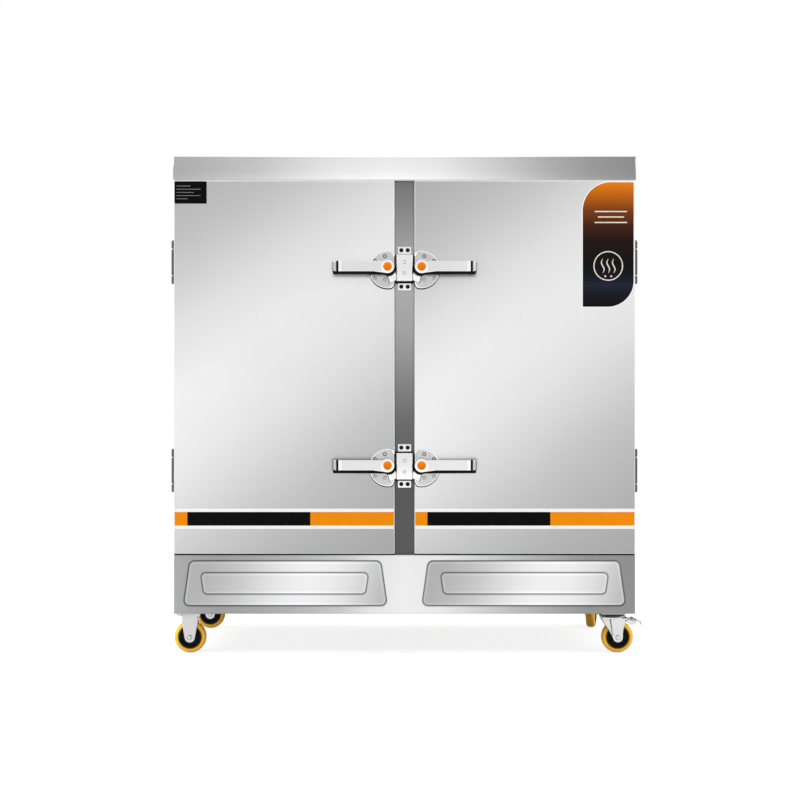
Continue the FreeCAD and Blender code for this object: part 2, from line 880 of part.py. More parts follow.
def caster_tops():
    """Middle of each caster's top plate."""
    places = []
    for y in CASTER_ENDS.values():
        places.append((-rigid_out, y))
        places.append((swivel_out, y))
    return places


def caster_bolts():
    """All bolts of the four casters."""
    return [caster_bolt(*place) for x, y in caster_tops() for place in caster_bolt_places(x, y)]


def rigid_fork(x, y):
    """Plate and two tapered legs of a fixed caster."""
    low = wheel_radius
    points = [
        (x - fork_half_width, caster_plate_bottom),
        (x + fork_half_width, caster_plate_bottom),
        (x + fork_half_width, low + fork_shoulder),
        (x + fork_tip_radius, low),
        (x - fork_tip_radius, low),
        (x - fork_half_width, low + fork_shoulder),
    ]
    pieces = [caster_plate(x, y)]
    for direction in (-1, 1):
        y_pair = (y + direction * fork_gap / 2, y + direction * (fork_gap / 2 + fork_sheet))
        pieces.append(plate_xz(points, y_pair))
        pieces.append(rod("Y", fork_tip_radius, y_pair[0], y_pair[1], x, low))
    return without(joined(pieces), [axle_bolt(x, y)])


def rigid_casters():
    """Forks and axles of the two fixed casters."""
    pieces = []
    for y in CASTER_ENDS.values():
        pieces.append(rigid_fork(-rigid_out, y))
        pieces.append(axle_bolt(-rigid_out, y))
    return pieces


def swivel_top(x, y):
    """Top plate, upper race and kingpin of a swivel caster."""
    race_low = caster_plate_bottom - race_split
    head_top = fork_crown_top - fork_sheet - race_gap
    pieces = [
        caster_plate(x, y),
        rod("Z", race_radius, race_low, caster_plate_bottom, x, y),
        rod("Z", kingpin_radius, head_top, race_low, x, y),
        rod("Z", kingpin_head_radius, head_top - kingpin_head_height, head_top, x, y),
    ]
    return joined(pieces)


def swivel_fork(x, y):
    """Crown, legs, front web and pedal pin of a swivel fork, trailing towards +X."""
    wheel_x = x + caster_trail
    low = wheel_radius
    crown_bottom = fork_crown_top - fork_sheet
    race_low = caster_plate_bottom - race_split - race_gap
    lead = wheel_x - caster_trail - crown_radius
    trail_end = wheel_x + pedal_pivot_ahead + pedal_barrel_radius + 2 * pedal_play
    tip = fork_tip_radius - 1.0
    points = [
        (lead, fork_crown_top),
        (trail_end, fork_crown_top),
        (trail_end, low + pedal_pivot_rise - 2 * pedal_barrel_radius),
        (wheel_x + tip, low + fork_shoulder / 2),
        (wheel_x + tip, low),
        (wheel_x - tip, low - tip / 4),
    ]
    half = fork_gap / 2 + fork_sheet
    pieces = [
        rod("Z", crown_radius, crown_bottom, race_low, x, y),
        block((lead, trail_end), (y - half, y + half), (crown_bottom, fork_crown_top)),
    ]
    for direction in (-1, 1):
        y_pair = (y + direction * fork_gap / 2, y + direction * half)
        pieces.append(plate_xz(points, y_pair))
        pieces.append(rod("Y", tip, y_pair[0], y_pair[1], wheel_x, low))
    web = [
        (lead, fork_crown_top),
        (lead + 2 * fork_sheet, fork_crown_top),
        (lead + 5 * fork_sheet, fork_crown_top - 7 * fork_sheet),
        (lead + 4 * fork_sheet, fork_crown_top - 7 * fork_sheet),
    ]
    pieces.append(plate_xz(web, (y - half, y + half)))
    pin_x = wheel_x + pedal_pivot_ahead
    pieces.append(rod("Y", pedal_pin_radius, y - half, y + half, pin_x, low + pedal_pivot_rise))
    bore = rod("Z", kingpin_radius + running_clearance, crown_bottom - sheet, race_low + sheet, x, y)
    return joined(pieces).cut([bore, axle_bolt(wheel_x, y)])


def brake_pedal(x, y):
    """Pressed pedal on its pin, with a brake block over the tyre."""
    pin_x = x + caster_trail + pedal_pivot_ahead
    pin_z = wheel_radius + pedal_pivot_rise
    barrel_half = fork_gap / 2 - pedal_play
    tread_half = pedal_width / 2
    tread = [
        (pin_x, pin_z + 5.4),
        (pin_x + 36, pin_z + 3.0),
        (pin_x + 47, pin_z - 3.0),
        (pin_x + 50, pin_z - 14.0),
        (pin_x + 46, pin_z - 14.0),
        (pin_x + 43, pin_z - 6.0),
        (pin_x + 34.5, pin_z - 1.0),
        (pin_x, pin_z + 1.4),
    ]
    block_points = [
        (pin_x + 2, pin_z + 2),
        (pin_x + 20, pin_z),
        (pin_x + 16, pin_z - 9),
        (pin_x + 7, pin_z - 9),
    ]
    pieces = [
        rod("Y", pedal_barrel_radius, y - barrel_half, y + barrel_half, pin_x, pin_z),
        plate_xz(tread, (y - tread_half, y + tread_half)),
        plate_xz(block_points, (y - tyre_width / 4, y + tyre_width / 4)),
    ]
    bore = rod("Y", pedal_pin_radius + running_clearance, y - fork_gap, y + fork_gap, pin_x, pin_z)
    return joined(pieces).cut(bore)


# Base box, frame, tank and heater


def base_front_panel():
    """Front of the base box with its pressed outlines."""
    panel = block((-half_width, half_width), (front, front + base_panel_sheet), (base_bottom, base_top))
    grooves = []
    for side in SIDES:
        outer = [
            (side * outline_in, base_bottom + outline_low),
            (side * outline_out, base_bottom + outline_low),
            (side * (outline_out - outline_slope), base_bottom + outline_high),
            (side * (outline_in + outline_slope), base_bottom + outline_high),
        ]
        inner = [
            (side * (inset_in + inset_slope), base_bottom + inset_low),
            (side * (inset_out - inset_slope), base_bottom + inset_low),
            (side * inset_out, base_bottom + inset_high),
            (side * inset_in, base_bottom + inset_high),
        ]
        grooves.append(groove(outer, outline_corner))
        grooves.append(groove(inner, inset_corner))
    return [without(panel, grooves)]


def groove(points, radius):
    """Shallow ring cut along a rounded outline of the base front."""
    face = Part.Face(rounded_wire(points, radius, front))
    inner = face.makeOffset2D(-groove_width / 2)
    outer = face.makeOffset2D(groove_width / 2)
    return outer.cut(inner).extrude(Vector(0, groove_depth, 0))


def base_shell():
    """Flat sheets of the base box: two sides, the back and the deck; it is open underneath."""
    y_front = front + base_panel_sheet
    inner = half_width - sheet
    wall_z = (base_bottom, base_top - sheet)
    sides = [sided_block(side, (inner, half_width), (y_front, back), wall_z) for side in SIDES]
    windows = [refill_space((back - 2 * sheet, back + sheet), tank_top + refill_lid_thickness)]
    windows.append(control_space((back - 2 * sheet, back + sheet)))
    rear = block((-inner, inner), (back - sheet, back), wall_z).cut(windows)
    deck = block((-half_width, half_width), (y_front, back), (base_top - sheet, base_top))
    deck = deck.cut(riser_holes(riser_radius, (base_top - 2 * sheet, base_top + sheet)))
    return sides + [rear, deck]


def base_frame():
    """Welded square-tube frame with a pad for each caster."""
    half = frame_tube / 2
    x_end = half_width - sheet
    y_front = front + base_panel_sheet
    y_back = back - sheet
    wall = frame_tube_wall
    hollow_z = (frame_bottom + wall, frame_top - wall)
    tubes = []
    hollows = []
    for y in CASTER_ENDS.values():
        tubes.append(block((-x_end, x_end), (y - half, y + half), (frame_bottom, frame_top)))
        hollow_y = (y - half + wall, y + half - wall)
        hollows.append(block((wall - x_end, x_end - wall), hollow_y, hollow_z))
    for x in (-rigid_out, 0.0, rigid_out):
        tubes.append(block((x - half, x + half), (y_front, y_back), (frame_bottom, frame_top)))
        hollow_x = (x - half + wall, x + half - wall)
        hollows.append(block(hollow_x, (y_front + wall, y_back - wall), hollow_z))
    x_half = caster_plate_width / 2
    y_half = caster_plate_length / 2
    for x, y in caster_tops():
        tubes.append(block((x - x_half, x + x_half), (y - y_half, y + y_half), (base_bottom, frame_bottom)))
    body = joined(tubes).cut(hollows)
    return [without(body, caster_bolts())]


def drain_path(radius):
    """Pipe from the tank's floor down and round to the back."""
    x = drain_out
    bend_z = drain_axis_height + drain_bend
    straight = rod("Z", radius, bend_z, frame_top + tank_sheet, x, drain_y)
    bend = Part.makeTorus(drain_bend, radius, Vector(x, drain_y + drain_bend, bend_z), Vector(1, 0, 0))
    reach = drain_bend + radius
    corner_y = (drain_y - radius, drain_y + drain_bend)
    corner = block((x - reach, x + reach), corner_y, (drain_axis_height - radius, bend_z))
    run_end = drain_y + drain_bend + drain_run
    run = rod("Y", radius, drain_y + drain_bend, run_end, x, drain_axis_height)
    return joined([straight, bend.common(corner), run])


def water_tank():
    """Closed tank under the chambers, welded from flat sheets, and its drain pipe."""
    x_half = tank_half_length
    y_half = tank_half_depth
    wall = tank_sheet
    across = (-x_half, x_half)
    floor_top = frame_top + wall
    wall_z = (floor_top, tank_top - wall)
    end_y = (wall - y_half, y_half - wall)
    floor = block(across, (-y_half, y_half), (frame_top, floor_top))
    floor = floor.cut(rod("Z", drain_radius, frame_top, floor_top, drain_out, drain_y))
    lid = block(across, (-y_half, y_half), (tank_top - wall, tank_top))
    lid = lid.cut(riser_holes(riser_radius, (tank_top - riser_seat, tank_top + wall)))
    front_wall = block(across, (-y_half, wall - y_half), wall_z)
    rear_wall = block(across, (y_half - wall, y_half), wall_z).cut(refill_pipe())
    plain_end = block((-x_half, wall - x_half), end_y, wall_z)
    heater_end = block((x_half - wall, x_half), end_y, wall_z)
    heater_end = heater_end.cut(heater_legs((x_half - 2 * wall, x_half + wall)))
    pipe = drain_path(drain_radius).cut(drain_path(drain_bore))
    return [floor, lid, front_wall, rear_wall, plain_end, heater_end, pipe]


def heater_rows():
    """Y places of the three hairpin heating tubes."""
    return (-heater_pitch, 0.0, heater_pitch)


def heater_legs(x_pair):
    """Straight legs of all heating tubes between two X values."""
    legs = []
    for row in heater_rows():
        for y in (row - heater_leg_spacing / 2, row + heater_leg_spacing / 2):
            legs.append(rod("X", heater_tube_radius, x_pair[0], x_pair[1], y, heater_height))
    return legs


def heating_element():
    """Three hairpin tubes on one flange outside the tank's end."""
    start = tank_half_length
    end = start - heater_length
    pieces = heater_legs((end, start))
    for row in heater_rows():
        ring = Part.makeTorus(heater_leg_spacing / 2, heater_tube_radius, Vector(end, row, heater_height))
        reach = heater_leg_spacing
        half_z = (heater_height - reach, heater_height + reach)
        half = block((end - reach, end), (row - reach, row + reach), half_z)
        pieces.append(ring.common(half))
    flange_half = heater_pitch + heater_leg_spacing
    z_pair = (heater_height - 3 * heater_tube_radius, heater_height + 3 * heater_tube_radius)
    flange_face = start + heater_flange_thickness
    pieces.append(block((start, flange_face), (-flange_half, flange_half), z_pair))
    head_half = heater_pitch
    head_z = (heater_height - 2 * heater_tube_radius, heater_height + 2 * heater_tube_radius)
    pieces.append(block((flange_face, flange_face + heater_head_length), (-head_half, head_half), head_z))
    return [joined(pieces)]


# Fittings at the back


def refill_space(y_pair, z_top):
    """Box of the refill tank between two Y values."""
    half = refill_width / 2
    return block((-refill_out - half, half - refill_out), y_pair, (frame_top, z_top))


def refill_pipe():
    """Short pipe between the refill box and the tank."""
    start = tank_half_depth - 2 * tank_sheet
    return rod("Y", refill_pipe_radius, start, box_front + box_sheet, -refill_out, heater_height)


def flange_round(inner_box, y_pair):
    """Flat flange round a box where it stands out of the back."""
    bounds = inner_box.BoundBox
    return block(
        (bounds.XMin - box_flange, bounds.XMax + box_flange),
        y_pair,
        (bounds.ZMin - box_flange, bounds.ZMax + box_flange),
    )


def float_lug():
    """Lug and pin that the float arm swings on."""
    x_wall = box_sheet - refill_out - refill_width / 2
    pivot_x = x_wall + float_pivot_inset
    z = frame_top + float_pivot_height
    half = float_hub_width / 2
    lug_end = float_pivot_y - half - soft_clearance
    reach = float_hub_radius
    lug = block((x_wall, pivot_x + reach), (lug_end - float_lug_thickness, lug_end), (z - reach, z + reach))
    pin = rod("Y", float_pin_radius, lug_end, float_pivot_y + half + soft_clearance, pivot_x, z)
    return [lug, pin]


def refill_box():
    """Refill box with its lid; the float arm hangs inside."""
    outer_back = back + refill_proud
    wall = box_sheet
    outer = refill_space((box_front, outer_back), tank_top)
    half = refill_width / 2 - wall
    inner = block(
        (-refill_out - half, half - refill_out),
        (box_front + wall, outer_back - wall),
        (frame_top + wall, tank_top + wall),
    )
    lid = refill_space((box_front, outer_back), tank_top + refill_lid_thickness)
    lid = lid.cut(refill_space((box_front, outer_back), tank_top))
    flange = flange_round(refill_space((box_front, outer_back), tank_top), (back, back + wall))
    body = joined([outer, flange]).cut([inner, lid])
    start = tank_half_depth - frame_tube
    hole = rod("Y", refill_pipe_radius - wall, start, box_front + 2 * wall, -refill_out, heater_height)
    neck_y = back + refill_proud - inlet_from_back
    neck = rod("Z", inlet_neck_radius, frame_top, frame_top + wall, -refill_out, neck_y)
    body = joined([body, refill_pipe()] + float_lug()).cut([hole, neck])
    return [body, lid]


def float_arm():
    """Hollow ball on its arm; it rises and falls with the water."""
    wall_x = box_sheet - refill_out - refill_width / 2
    x = wall_x + float_pivot_inset
    z = frame_top + float_pivot_height
    half = float_hub_width / 2
    y = float_pivot_y
    ball = Part.makeSphere(float_ball_radius, Vector(x + float_arm_length, y, z))
    arm = rod("X", float_arm_radius, x, x + float_arm_length, y, z)
    hub = rod("Y", float_hub_radius, y - half, y + half, x, z)
    bore = rod("Y", float_pin_radius + running_clearance, y - half, y + half, x, z)
    return [joined([ball, arm, hub]).cut(bore)]


def water_inlet():
    """Threaded inlet under the refill box."""
    y = back + refill_proud - inlet_from_back
    x = -refill_out
    collar_low = frame_top - inlet_collar_height
    pieces = [
        rod("Z", inlet_neck_radius, frame_top, frame_top + box_sheet, x, y),
        rod("Z", inlet_collar_radius, collar_low, frame_top, x, y),
        rod("Z", inlet_thread_radius, collar_low - inlet_thread_length, collar_low, x, y),
    ]
    bore = rod("Z", inlet_bore, collar_low - inlet_thread_length, frame_top + box_sheet, x, y)
    return joined(pieces).cut(bore)


def drain_valve():
    """Ball valve body on the drain pipe, with its stem and threaded outlet."""
    x = drain_out
    z = drain_axis_height
    neck_top = z + valve_ball_radius + valve_neck_rise
    outlet_end = outlet_start + outlet_thread_length
    pieces = [
        rod("Y", valve_nut_radius, valve_start, valve_ball_start, x, z),
        rod("Y", valve_ball_radius, valve_ball_start, valve_ball_end, x, z),
        rod("Y", valve_nut_radius, valve_ball_end, outlet_start, x, z),
        rod("Y", outlet_thread_radius, outlet_start, outlet_end, x, z),
        rod("Z", valve_neck_radius, z, neck_top, x, valve_stem_y),
        rod("Z", valve_stem_radius, neck_top, neck_top + valve_stem_height, x, valve_stem_y),
    ]
    socket = rod("Y", drain_radius, valve_start, valve_start + valve_socket_depth, x, z)
    bore = rod("Y", drain_bore, valve_start, outlet_end, x, z)
    return joined(pieces).cut([socket, bore])


def drain_lever():
    """Lever that turns the drain valve, across the pipe when it is shut."""
    x = drain_out
    low = drain_axis_height + valve_ball_radius + valve_neck_rise + soft_clearance
    high = low + valve_lever_hub_height
    hub = rod("Z", valve_lever_hub_radius, low, high, x, valve_stem_y)
    half = valve_lever_width / 2
    y_pair = (valve_stem_y - half, valve_stem_y + half)
    arm = block((x, x + valve_lever_length), y_pair, (high - valve_lever_thickness, high))
    bore = rod("Z", valve_stem_radius + running_clearance, low, high, x, valve_stem_y)
    return [joined([hub, arm]).cut(bore)]


def control_space(y_pair):
    """Box of the control box between two Y values."""
    half = control_width / 2
    return block((control_out - half, control_out + half), y_pair, (frame_top, frame_top + control_height))


def control_box():
    """Control box let into the back, with the knob's spindle, and the cable gland below it."""
    outer = control_space((control_front, control_face))
    wall = box_sheet
    half = control_width / 2 - wall
    inner = block(
        (control_out - half, control_out + half),
        (control_front + wall, control_face - wall),
        (frame_top + wall, frame_top + control_height - wall),
    )
    flange = flange_round(outer, (back, back + wall))
    spindle_end = control_face + knob_spindle_length
    spindle = rod("Y", knob_spindle_radius, control_face, spindle_end, knob_out, knob_height)
    y = control_face - gland_from_back
    hole = rod("Z", gland_bore, frame_top - wall, frame_top + 2 * wall, control_out, y)
    body = joined([joined([outer, flange]).cut(inner), spindle]).cut(hole)
    gland = rod("Z", gland_radius, frame_top - gland_length, frame_top, control_out, y)
    gland = gland.cut(rod("Z", gland_bore, frame_top - gland_length, frame_top, control_out, y))
    return [body, gland]


def power_knob():
    """Round knob with a pointer ridge, bored for the spindle."""
    low = control_face + knob_gap
    disc = rod("Y", knob_radius, low, low + knob_depth, knob_out, knob_height)
    rim = [e for e in disc.Edges if e.BoundBox.YMin > low + knob_depth / 2]
    disc = disc.makeFillet(knob_depth / 7, rim[:1])
    x_pair = (knob_out - sheet, knob_out + sheet)
    mark_z = (knob_height + knob_radius / 3, knob_height + knob_radius - sheet)
    mark = block(x_pair, (low + knob_depth - sheet, low + knob_depth), mark_z)
    bore_radius = knob_spindle_radius + running_clearance
    bore = rod("Y", bore_radius, low, low + knob_spindle_length, knob_out, knob_height)
    return [disc.cut([bore, mark])]


def steam_vents():
    """Open pipes that lead spent steam out of the back of each chamber."""
    pieces = []
    for side in SIDES:
        pipe = vent_rod(side, vent_radius, (chamber_back, back + vent_length))
        flange = vent_rod(side, vent_flange_radius, (back, back + vent_flange_thickness))
        bore = vent_rod(side, vent_radius - vent_wall, (chamber_back - sheet, back + vent_length + sheet))
        pieces.append(joined([pipe, flange]).cut(bore))
    return pieces


# Racks and trays


def tray_top_height():
    """Height of the level that the loose tray stands on."""
    return chamber_bottom + rack_first_level + (tray_level - 1) * rack_pitch


def tray_racks():
    """Uprights on the chamber walls and the flat bars that carry the trays."""
    pieces = []
    tray_front = frame_back + tray_front_gap
    bar_y = (tray_front - rack_bar_overhang, tray_front + tray_depth + rack_bar_overhang)
    upright_middles = (bar_y[0] + rack_upright_from_end, bar_y[1] - rack_upright_from_end)
    half = rack_upright_width / 2
    for side in SIDES:
        for wall_out, step in ((chamber_in, 1), (chamber_out, -1)):
            upright_end = wall_out + step * rack_upright_thickness
            bar_end = upright_end + step * rack_bar_width
            for y in upright_middles:
                y_pair = (y - half, y + half)
                upright_z = (chamber_bottom, chamber_top)
                pieces.append(sided_block(side, (wall_out, upright_end), y_pair, upright_z))
            for level in range(rack_levels):
                top = chamber_bottom + rack_first_level + level * rack_pitch
                z_pair = (top - rack_bar_thickness, top)
                pieces.append(sided_block(side, (upright_end, bar_end), bar_y, z_pair))
    return pieces


def tray(side):
    """Pressed pan with sloping walls and a flat rim that slides on two rack bars."""
    x = side * chamber_middle
    rim_bottom = tray_top_height() + tray_lift
    rim_top = rim_bottom + tray_sheet
    floor = rim_top - tray_height
    y_front = frame_back + tray_front_gap
    y_back = y_front + tray_depth
    half = tray_width / 2
    rim = rounded_slab((x - half, x + half), (y_front, y_back), rim_bottom, rim_top, tray_corner_radius)
    outer = tray_body(x, half, (y_front, y_back), floor, rim_top, 0.0)
    inner = tray_body(x, half, (y_front, y_back), floor + tray_sheet, rim_top + tray_sheet, tray_sheet)
    return rim.fuse(outer).removeSplitter().cut(inner)


def rounded_slab(x_pair, y_pair, z_low, z_high, radius):
    """Flat slab with rounded upright corners."""
    slab = block(x_pair, y_pair, (z_low, z_high))
    uprights = [e for e in slab.Edges if abs(e.BoundBox.ZLength - (z_high - z_low)) < 1e-6]
    return slab.makeFillet(radius, uprights)


def tray_body(x, half, y_pair, z_low, z_high, thinner):
    """Tapered solid of the pan's bowl, or of the space inside it."""
    inset = tray_rim_width + thinner
    top = pan_outline(x, half - inset, (y_pair[0] + inset, y_pair[1] - inset), z_high)
    inset += tray_taper
    bottom = pan_outline(x, half - inset, (y_pair[0] + inset, y_pair[1] - inset), z_low)
    return Part.makeLoft([bottom, top], True, True)


def pan_outline(x, half, y_pair, z):
    """Horizontal rounded rectangle for one level of the pan."""
    corners = [(x - half, y_pair[0]), (x + half, y_pair[0]), (x + half, y_pair[1]), (x - half, y_pair[1])]
    upright = rounded_wire([(px, -py) for px, py in corners], tray_corner_radius, 0.0)
    upright.rotate(Vector(0, 0, 0), Vector(1, 0, 0), 90)
    upright.translate(Vector(0, 0, z))
    return upright


def cabinet_pieces():
    """Nodes that stay fixed to the cabinet."""
    return {
        "base_frame": base_frame(),
        "base_front_panel": base_front_panel(),
        "base_shell": base_shell(),
        "side_panels": side_panels(),
        "back_panel": back_panel(),
        "top_cap": top_cap(),
        "front_frame": front_frame(),
        "centre_post_cover": post_cover(),
        "chamber_liners": [chamber_liner(side) for side in SIDES],
        "insulation": insulation(),
        "tray_racks": tray_racks(),
        "water_tank": water_tank(),
        "heating_element": heating_element(),
        "frame_hinge_leaves": frame_hinge_leaves(),
        "latch_keepers": [keeper(height) for height in latch_heights],
        "keeper_screws": [screw for height in latch_heights for screw in keeper_screws_at(height)],
        "rigid_caster_forks": rigid_casters(),
        "swivel_caster_tops": [swivel_top(swivel_out, y) for y in CASTER_ENDS.values()],
        "caster_bolts": caster_bolts(),
        "refill_box": refill_box(),
        "water_fittings": [water_inlet(), drain_valve()],
        "control_box": control_box(),
        "steam_vents": steam_vents(),
        "drain_lever": drain_lever(),
        "power_knob": power_knob(),
        "float_arm": float_arm(),
    }


def door_pieces():
    """Nodes of the two doors, their latches and the trays behind them."""
    pieces = {}
    for side in SIDES:
        name = SIDE_NAMES[side]
        pieces[name + "_door_skin"] = door_skin(side)
        pieces[name + "_door_liner"] = door_liner(side)
        pieces[name + "_door_core"] = [door_core(side)]
        pieces[name + "_door_gasket"] = [door_gasket(side)]
        pieces[name + "_door_hinge_leaves"] = [door_hinge_leaf(side, middle) for middle in hinge_heights]
        pieces[name + "_latch_plates"] = latch_plates(side)
        pieces[name + "_tray"] = [tray(side)]
        for level, height in zip(LATCH_NAMES, latch_heights):
            pieces[name + "_" + level + "_lever"] = [latch_lever(side, height)]
            pieces[name + "_" + level + "_lever_cap"] = [lever_cap(side, height)]
    return pieces


def wheel_pieces():
    """Nodes of the wheels, the swivel forks and the brake pedals."""
    pieces = {}
    for end, y in CASTER_ENDS.items():
        pieces[end + "_left_tyre"] = [tyre(-rigid_out, y)]
        pieces[end + "_left_wheel_core"] = wheel_core(-rigid_out, y)
        turn = swivel_turns[end]
        wheel_x = swivel_out + caster_trail
        straight = {
            end + "_right_tyre": [tyre(wheel_x, y)],
            end + "_right_wheel_core": wheel_core(wheel_x, y),
            end + "_right_fork": [swivel_fork(swivel_out, y), axle_bolt(wheel_x, y)],
            end + "_right_brake_pedal": [brake_pedal(swivel_out, y)],
        }
        for name, shapes in straight.items():
            pieces[name] = [swung(shape, swivel_out, y, turn) for shape in shapes]
    return pieces


def write_parts(pieces):
    """Writes one STEP file for each named node."""
    os.makedirs("parts", exist_ok=True)
    for name, shapes in pieces.items():
        solids = [solid for shape in shapes for solid in shape.Solids]
        whole = solids[0] if len(solids) == 1 else Part.makeCompound(solids)
        whole.exportStep("parts/" + name + ".step")
        print(name, len(solids), "solids,", round(sum(solid.Volume for solid in solids) / 1000), "cm3")


write_parts({**cabinet_pieces(), **door_pieces(), **wheel_pieces()})
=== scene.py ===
"""Looks of a two-door rice steamer cabinet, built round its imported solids."""

import logging
import math
from dataclasses import dataclass, field
from enum import Enum
from typing import Iterable, Optional, Sequence

import bmesh
import bpy
import numpy as np
from mathutils import Euler, Matrix, Vector


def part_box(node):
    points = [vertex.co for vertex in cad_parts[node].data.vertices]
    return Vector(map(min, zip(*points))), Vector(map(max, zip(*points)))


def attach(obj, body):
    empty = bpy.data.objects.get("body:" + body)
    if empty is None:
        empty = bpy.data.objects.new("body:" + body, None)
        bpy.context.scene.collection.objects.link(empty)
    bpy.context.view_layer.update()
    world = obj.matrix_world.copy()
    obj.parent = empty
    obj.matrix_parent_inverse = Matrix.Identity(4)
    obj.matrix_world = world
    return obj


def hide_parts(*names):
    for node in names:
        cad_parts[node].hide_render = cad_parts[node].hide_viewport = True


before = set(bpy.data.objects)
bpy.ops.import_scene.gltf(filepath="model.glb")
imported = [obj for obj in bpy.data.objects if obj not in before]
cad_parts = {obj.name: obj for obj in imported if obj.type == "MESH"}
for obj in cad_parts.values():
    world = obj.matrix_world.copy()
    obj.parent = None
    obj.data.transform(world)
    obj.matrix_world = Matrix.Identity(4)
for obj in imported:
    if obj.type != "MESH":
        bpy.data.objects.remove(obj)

logging.basicConfig(level=logging.INFO, format="%(message)s")
log = logging.getLogger("steamer")

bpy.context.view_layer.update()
MM = 0.001
Point2 = tuple[float, float]
Point3 = tuple[float, float, float]
Stops = tuple[tuple[float, float], ...]
Outline = Sequence[Point2]
Node = bpy.types.Node
Thing = bpy.types.Object
Paint = bpy.types.Material
BMesh = bmesh.types.BMesh
WHITE = (1.0, 1.0, 1.0, 1.0)
ORIGIN = (0.0, 0.0, 0.0)


class Side(Enum):
    """The two sides of the cabinet, seen from the front."""

    LEFT = -1
    RIGHT = 1

    @property
    def label(self) -> str:
        """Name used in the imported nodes."""
        return self.name.lower()


class Axis(Enum):
    """Directions along which a plate is thick or a turned piece lies."""

    X = 0
    Y = 1
    Z = 2


class Grain(Enum):
    """Stretch of the brushing marks along each axis."""

    UPRIGHT = (900.0, 900.0, 9.0)
    LEVEL = (9.0, 900.0, 900.0)
    NONE = (160.0, 160.0, 160.0)


# Finishes


def linear(grey: float) -> float:
    """Linear light of a display value between 0 and 255."""
    value = grey / 255.0
    return value / 12.92 if value <= 0.04045 else ((value + 0.055) / 1.055) ** 2.4


def tint(red: float, green: float, blue: float) -> tuple[float, float, float, float]:
    """Linear colour from three display values between 0 and 255."""
    return (linear(red), linear(green), linear(blue), 1.0)


class Wiring:
    """Adds, sets and links the nodes of one tree."""

    def __init__(self, tree: bpy.types.NodeTree) -> None:
        """Empties the tree."""
        self.tree = tree
        tree.nodes.clear()

    def feed(self, node: Node, socket: object, operand: object) -> None:
        """Sets or links one input socket.

        Args:
            node: the node that has the socket.
            socket: its name or number.
            operand: a plain value, or the (node, socket) pair to link from.
        """
        if isinstance(operand, tuple) and isinstance(operand[0], Node):
            self.tree.links.new(operand[0].outputs[operand[1]], node.inputs[socket])
        else:
            node.inputs[socket].default_value = operand

    def add(self, kind: str, sockets: Optional[dict] = None, **settings: object) -> Node:
        """Adds a node.

        Args:
            kind: type of the node.
            sockets: operands of its input sockets, by name or number.
            settings: its plain attributes, set first.

        Returns:
            The node.
        """
        node = self.tree.nodes.new(kind)
        for key, value in settings.items():
            setattr(node, key, value)
        for key, operand in (sockets or {}).items():
            self.feed(node, key, operand)
        return node

    def ramp(self, source: tuple, stops: Iterable[tuple[float, Sequence[float]]]) -> Node:
        """Adds a colour ramp.

        Args:
            source: the (node, socket) pair that feeds it.
            stops: places from 0 to 1 with their linear colours.

        Returns:
            The ramp.
        """
        node = self.add("ShaderNodeValToRGB", {"Fac": source})
        elements = node.color_ramp.elements
        for index, (place, colour) in enumerate(stops):
            element = elements[index] if index < 2 else elements.new(place)
            element.position = place
            element.color = tuple(colour)
        return node


class Graph(Wiring):
    """Shader nodes of one material."""

    def __init__(self, name: str) -> None:
        """Starts a material with a Principled shader.

        Args:
            name: the material's name.
        """
        self.material = bpy.data.materials.new(name)
        self.material.use_nodes = True
        super().__init__(self.material.node_tree)
        self.shader = self.add("ShaderNodeBsdfPrincipled")
        self.add("ShaderNodeOutputMaterial", {"Surface": (self.shader, "BSDF")})
        self.coords = self.add("ShaderNodeTexCoord")

    def maths(self, operation: str, first: object, second: object) -> Node:
        """Math node on two operands."""
        return self.add("ShaderNodeMath", {0: first, 1: second}, operation=operation)

    def noise(self, scale: Sequence[float], detail: float, roughness: float = 0.5) -> Node:
        """Noise on Object coordinates, stretched by a scale for each axis."""
        mapping = self.add("ShaderNodeMapping", {"Scale": tuple(scale), "Vector": (self.coords, "Object")})
        return self.add("ShaderNodeTexNoise", {
            "Scale": 1.0, "Detail": detail, "Roughness": roughness, "Vector": (mapping, "Vector")})

    def product(self, first: object, second: object) -> tuple[Node, int]:
        """Product of two colours, as a pair to link from."""
        sockets = {0: 1.0, 6: first, 7: second}
        return self.add("ShaderNodeMix", sockets, data_type="RGBA", blend_type="MULTIPLY"), 2

    def shade(self, colour: tuple) -> tuple[Node, int]:
        """Colour times the mesh's shade attribute, which holds painted shade and highlight."""
        attribute = self.add("ShaderNodeAttribute", attribute_name="shade")
        return self.product(colour, (attribute, "Color"))

    def range(self, source: tuple, low: float, high: float) -> tuple[Node, int]:
        """Maps a 0 to 1 value onto a narrower range."""
        return self.add("ShaderNodeMapRange", {"To Min": low, "To Max": high, "Value": source}), 0

    def bump(self, source: tuple, strength: float, distance: float) -> None:
        """Raises fine relief on the surface."""
        node = self.add("ShaderNodeBump", {"Strength": strength, "Distance": distance, "Height": source})
        self.feed(self.shader, "Normal", (node, "Normal"))

    def finish(self, sockets: dict) -> Paint:
        """Feeds the shader's sockets and hands out the material.

        Args:
            sockets: operands by socket name.

        Returns:
            The material.
        """
        for key, operand in sockets.items():
            self.feed(self.shader, key, operand)
        return self.material


@dataclass(frozen=True)
class Sheen:
    """Broad light and dark bands on a sheet, along one slanting direction: painted reflection.

    The place on the direction is along_x * x + along_z * z + start, in metres,
    and each stop gives a place and its display grey.
    """

    along_x: float
    along_z: float
    start: float
    stops: Stops


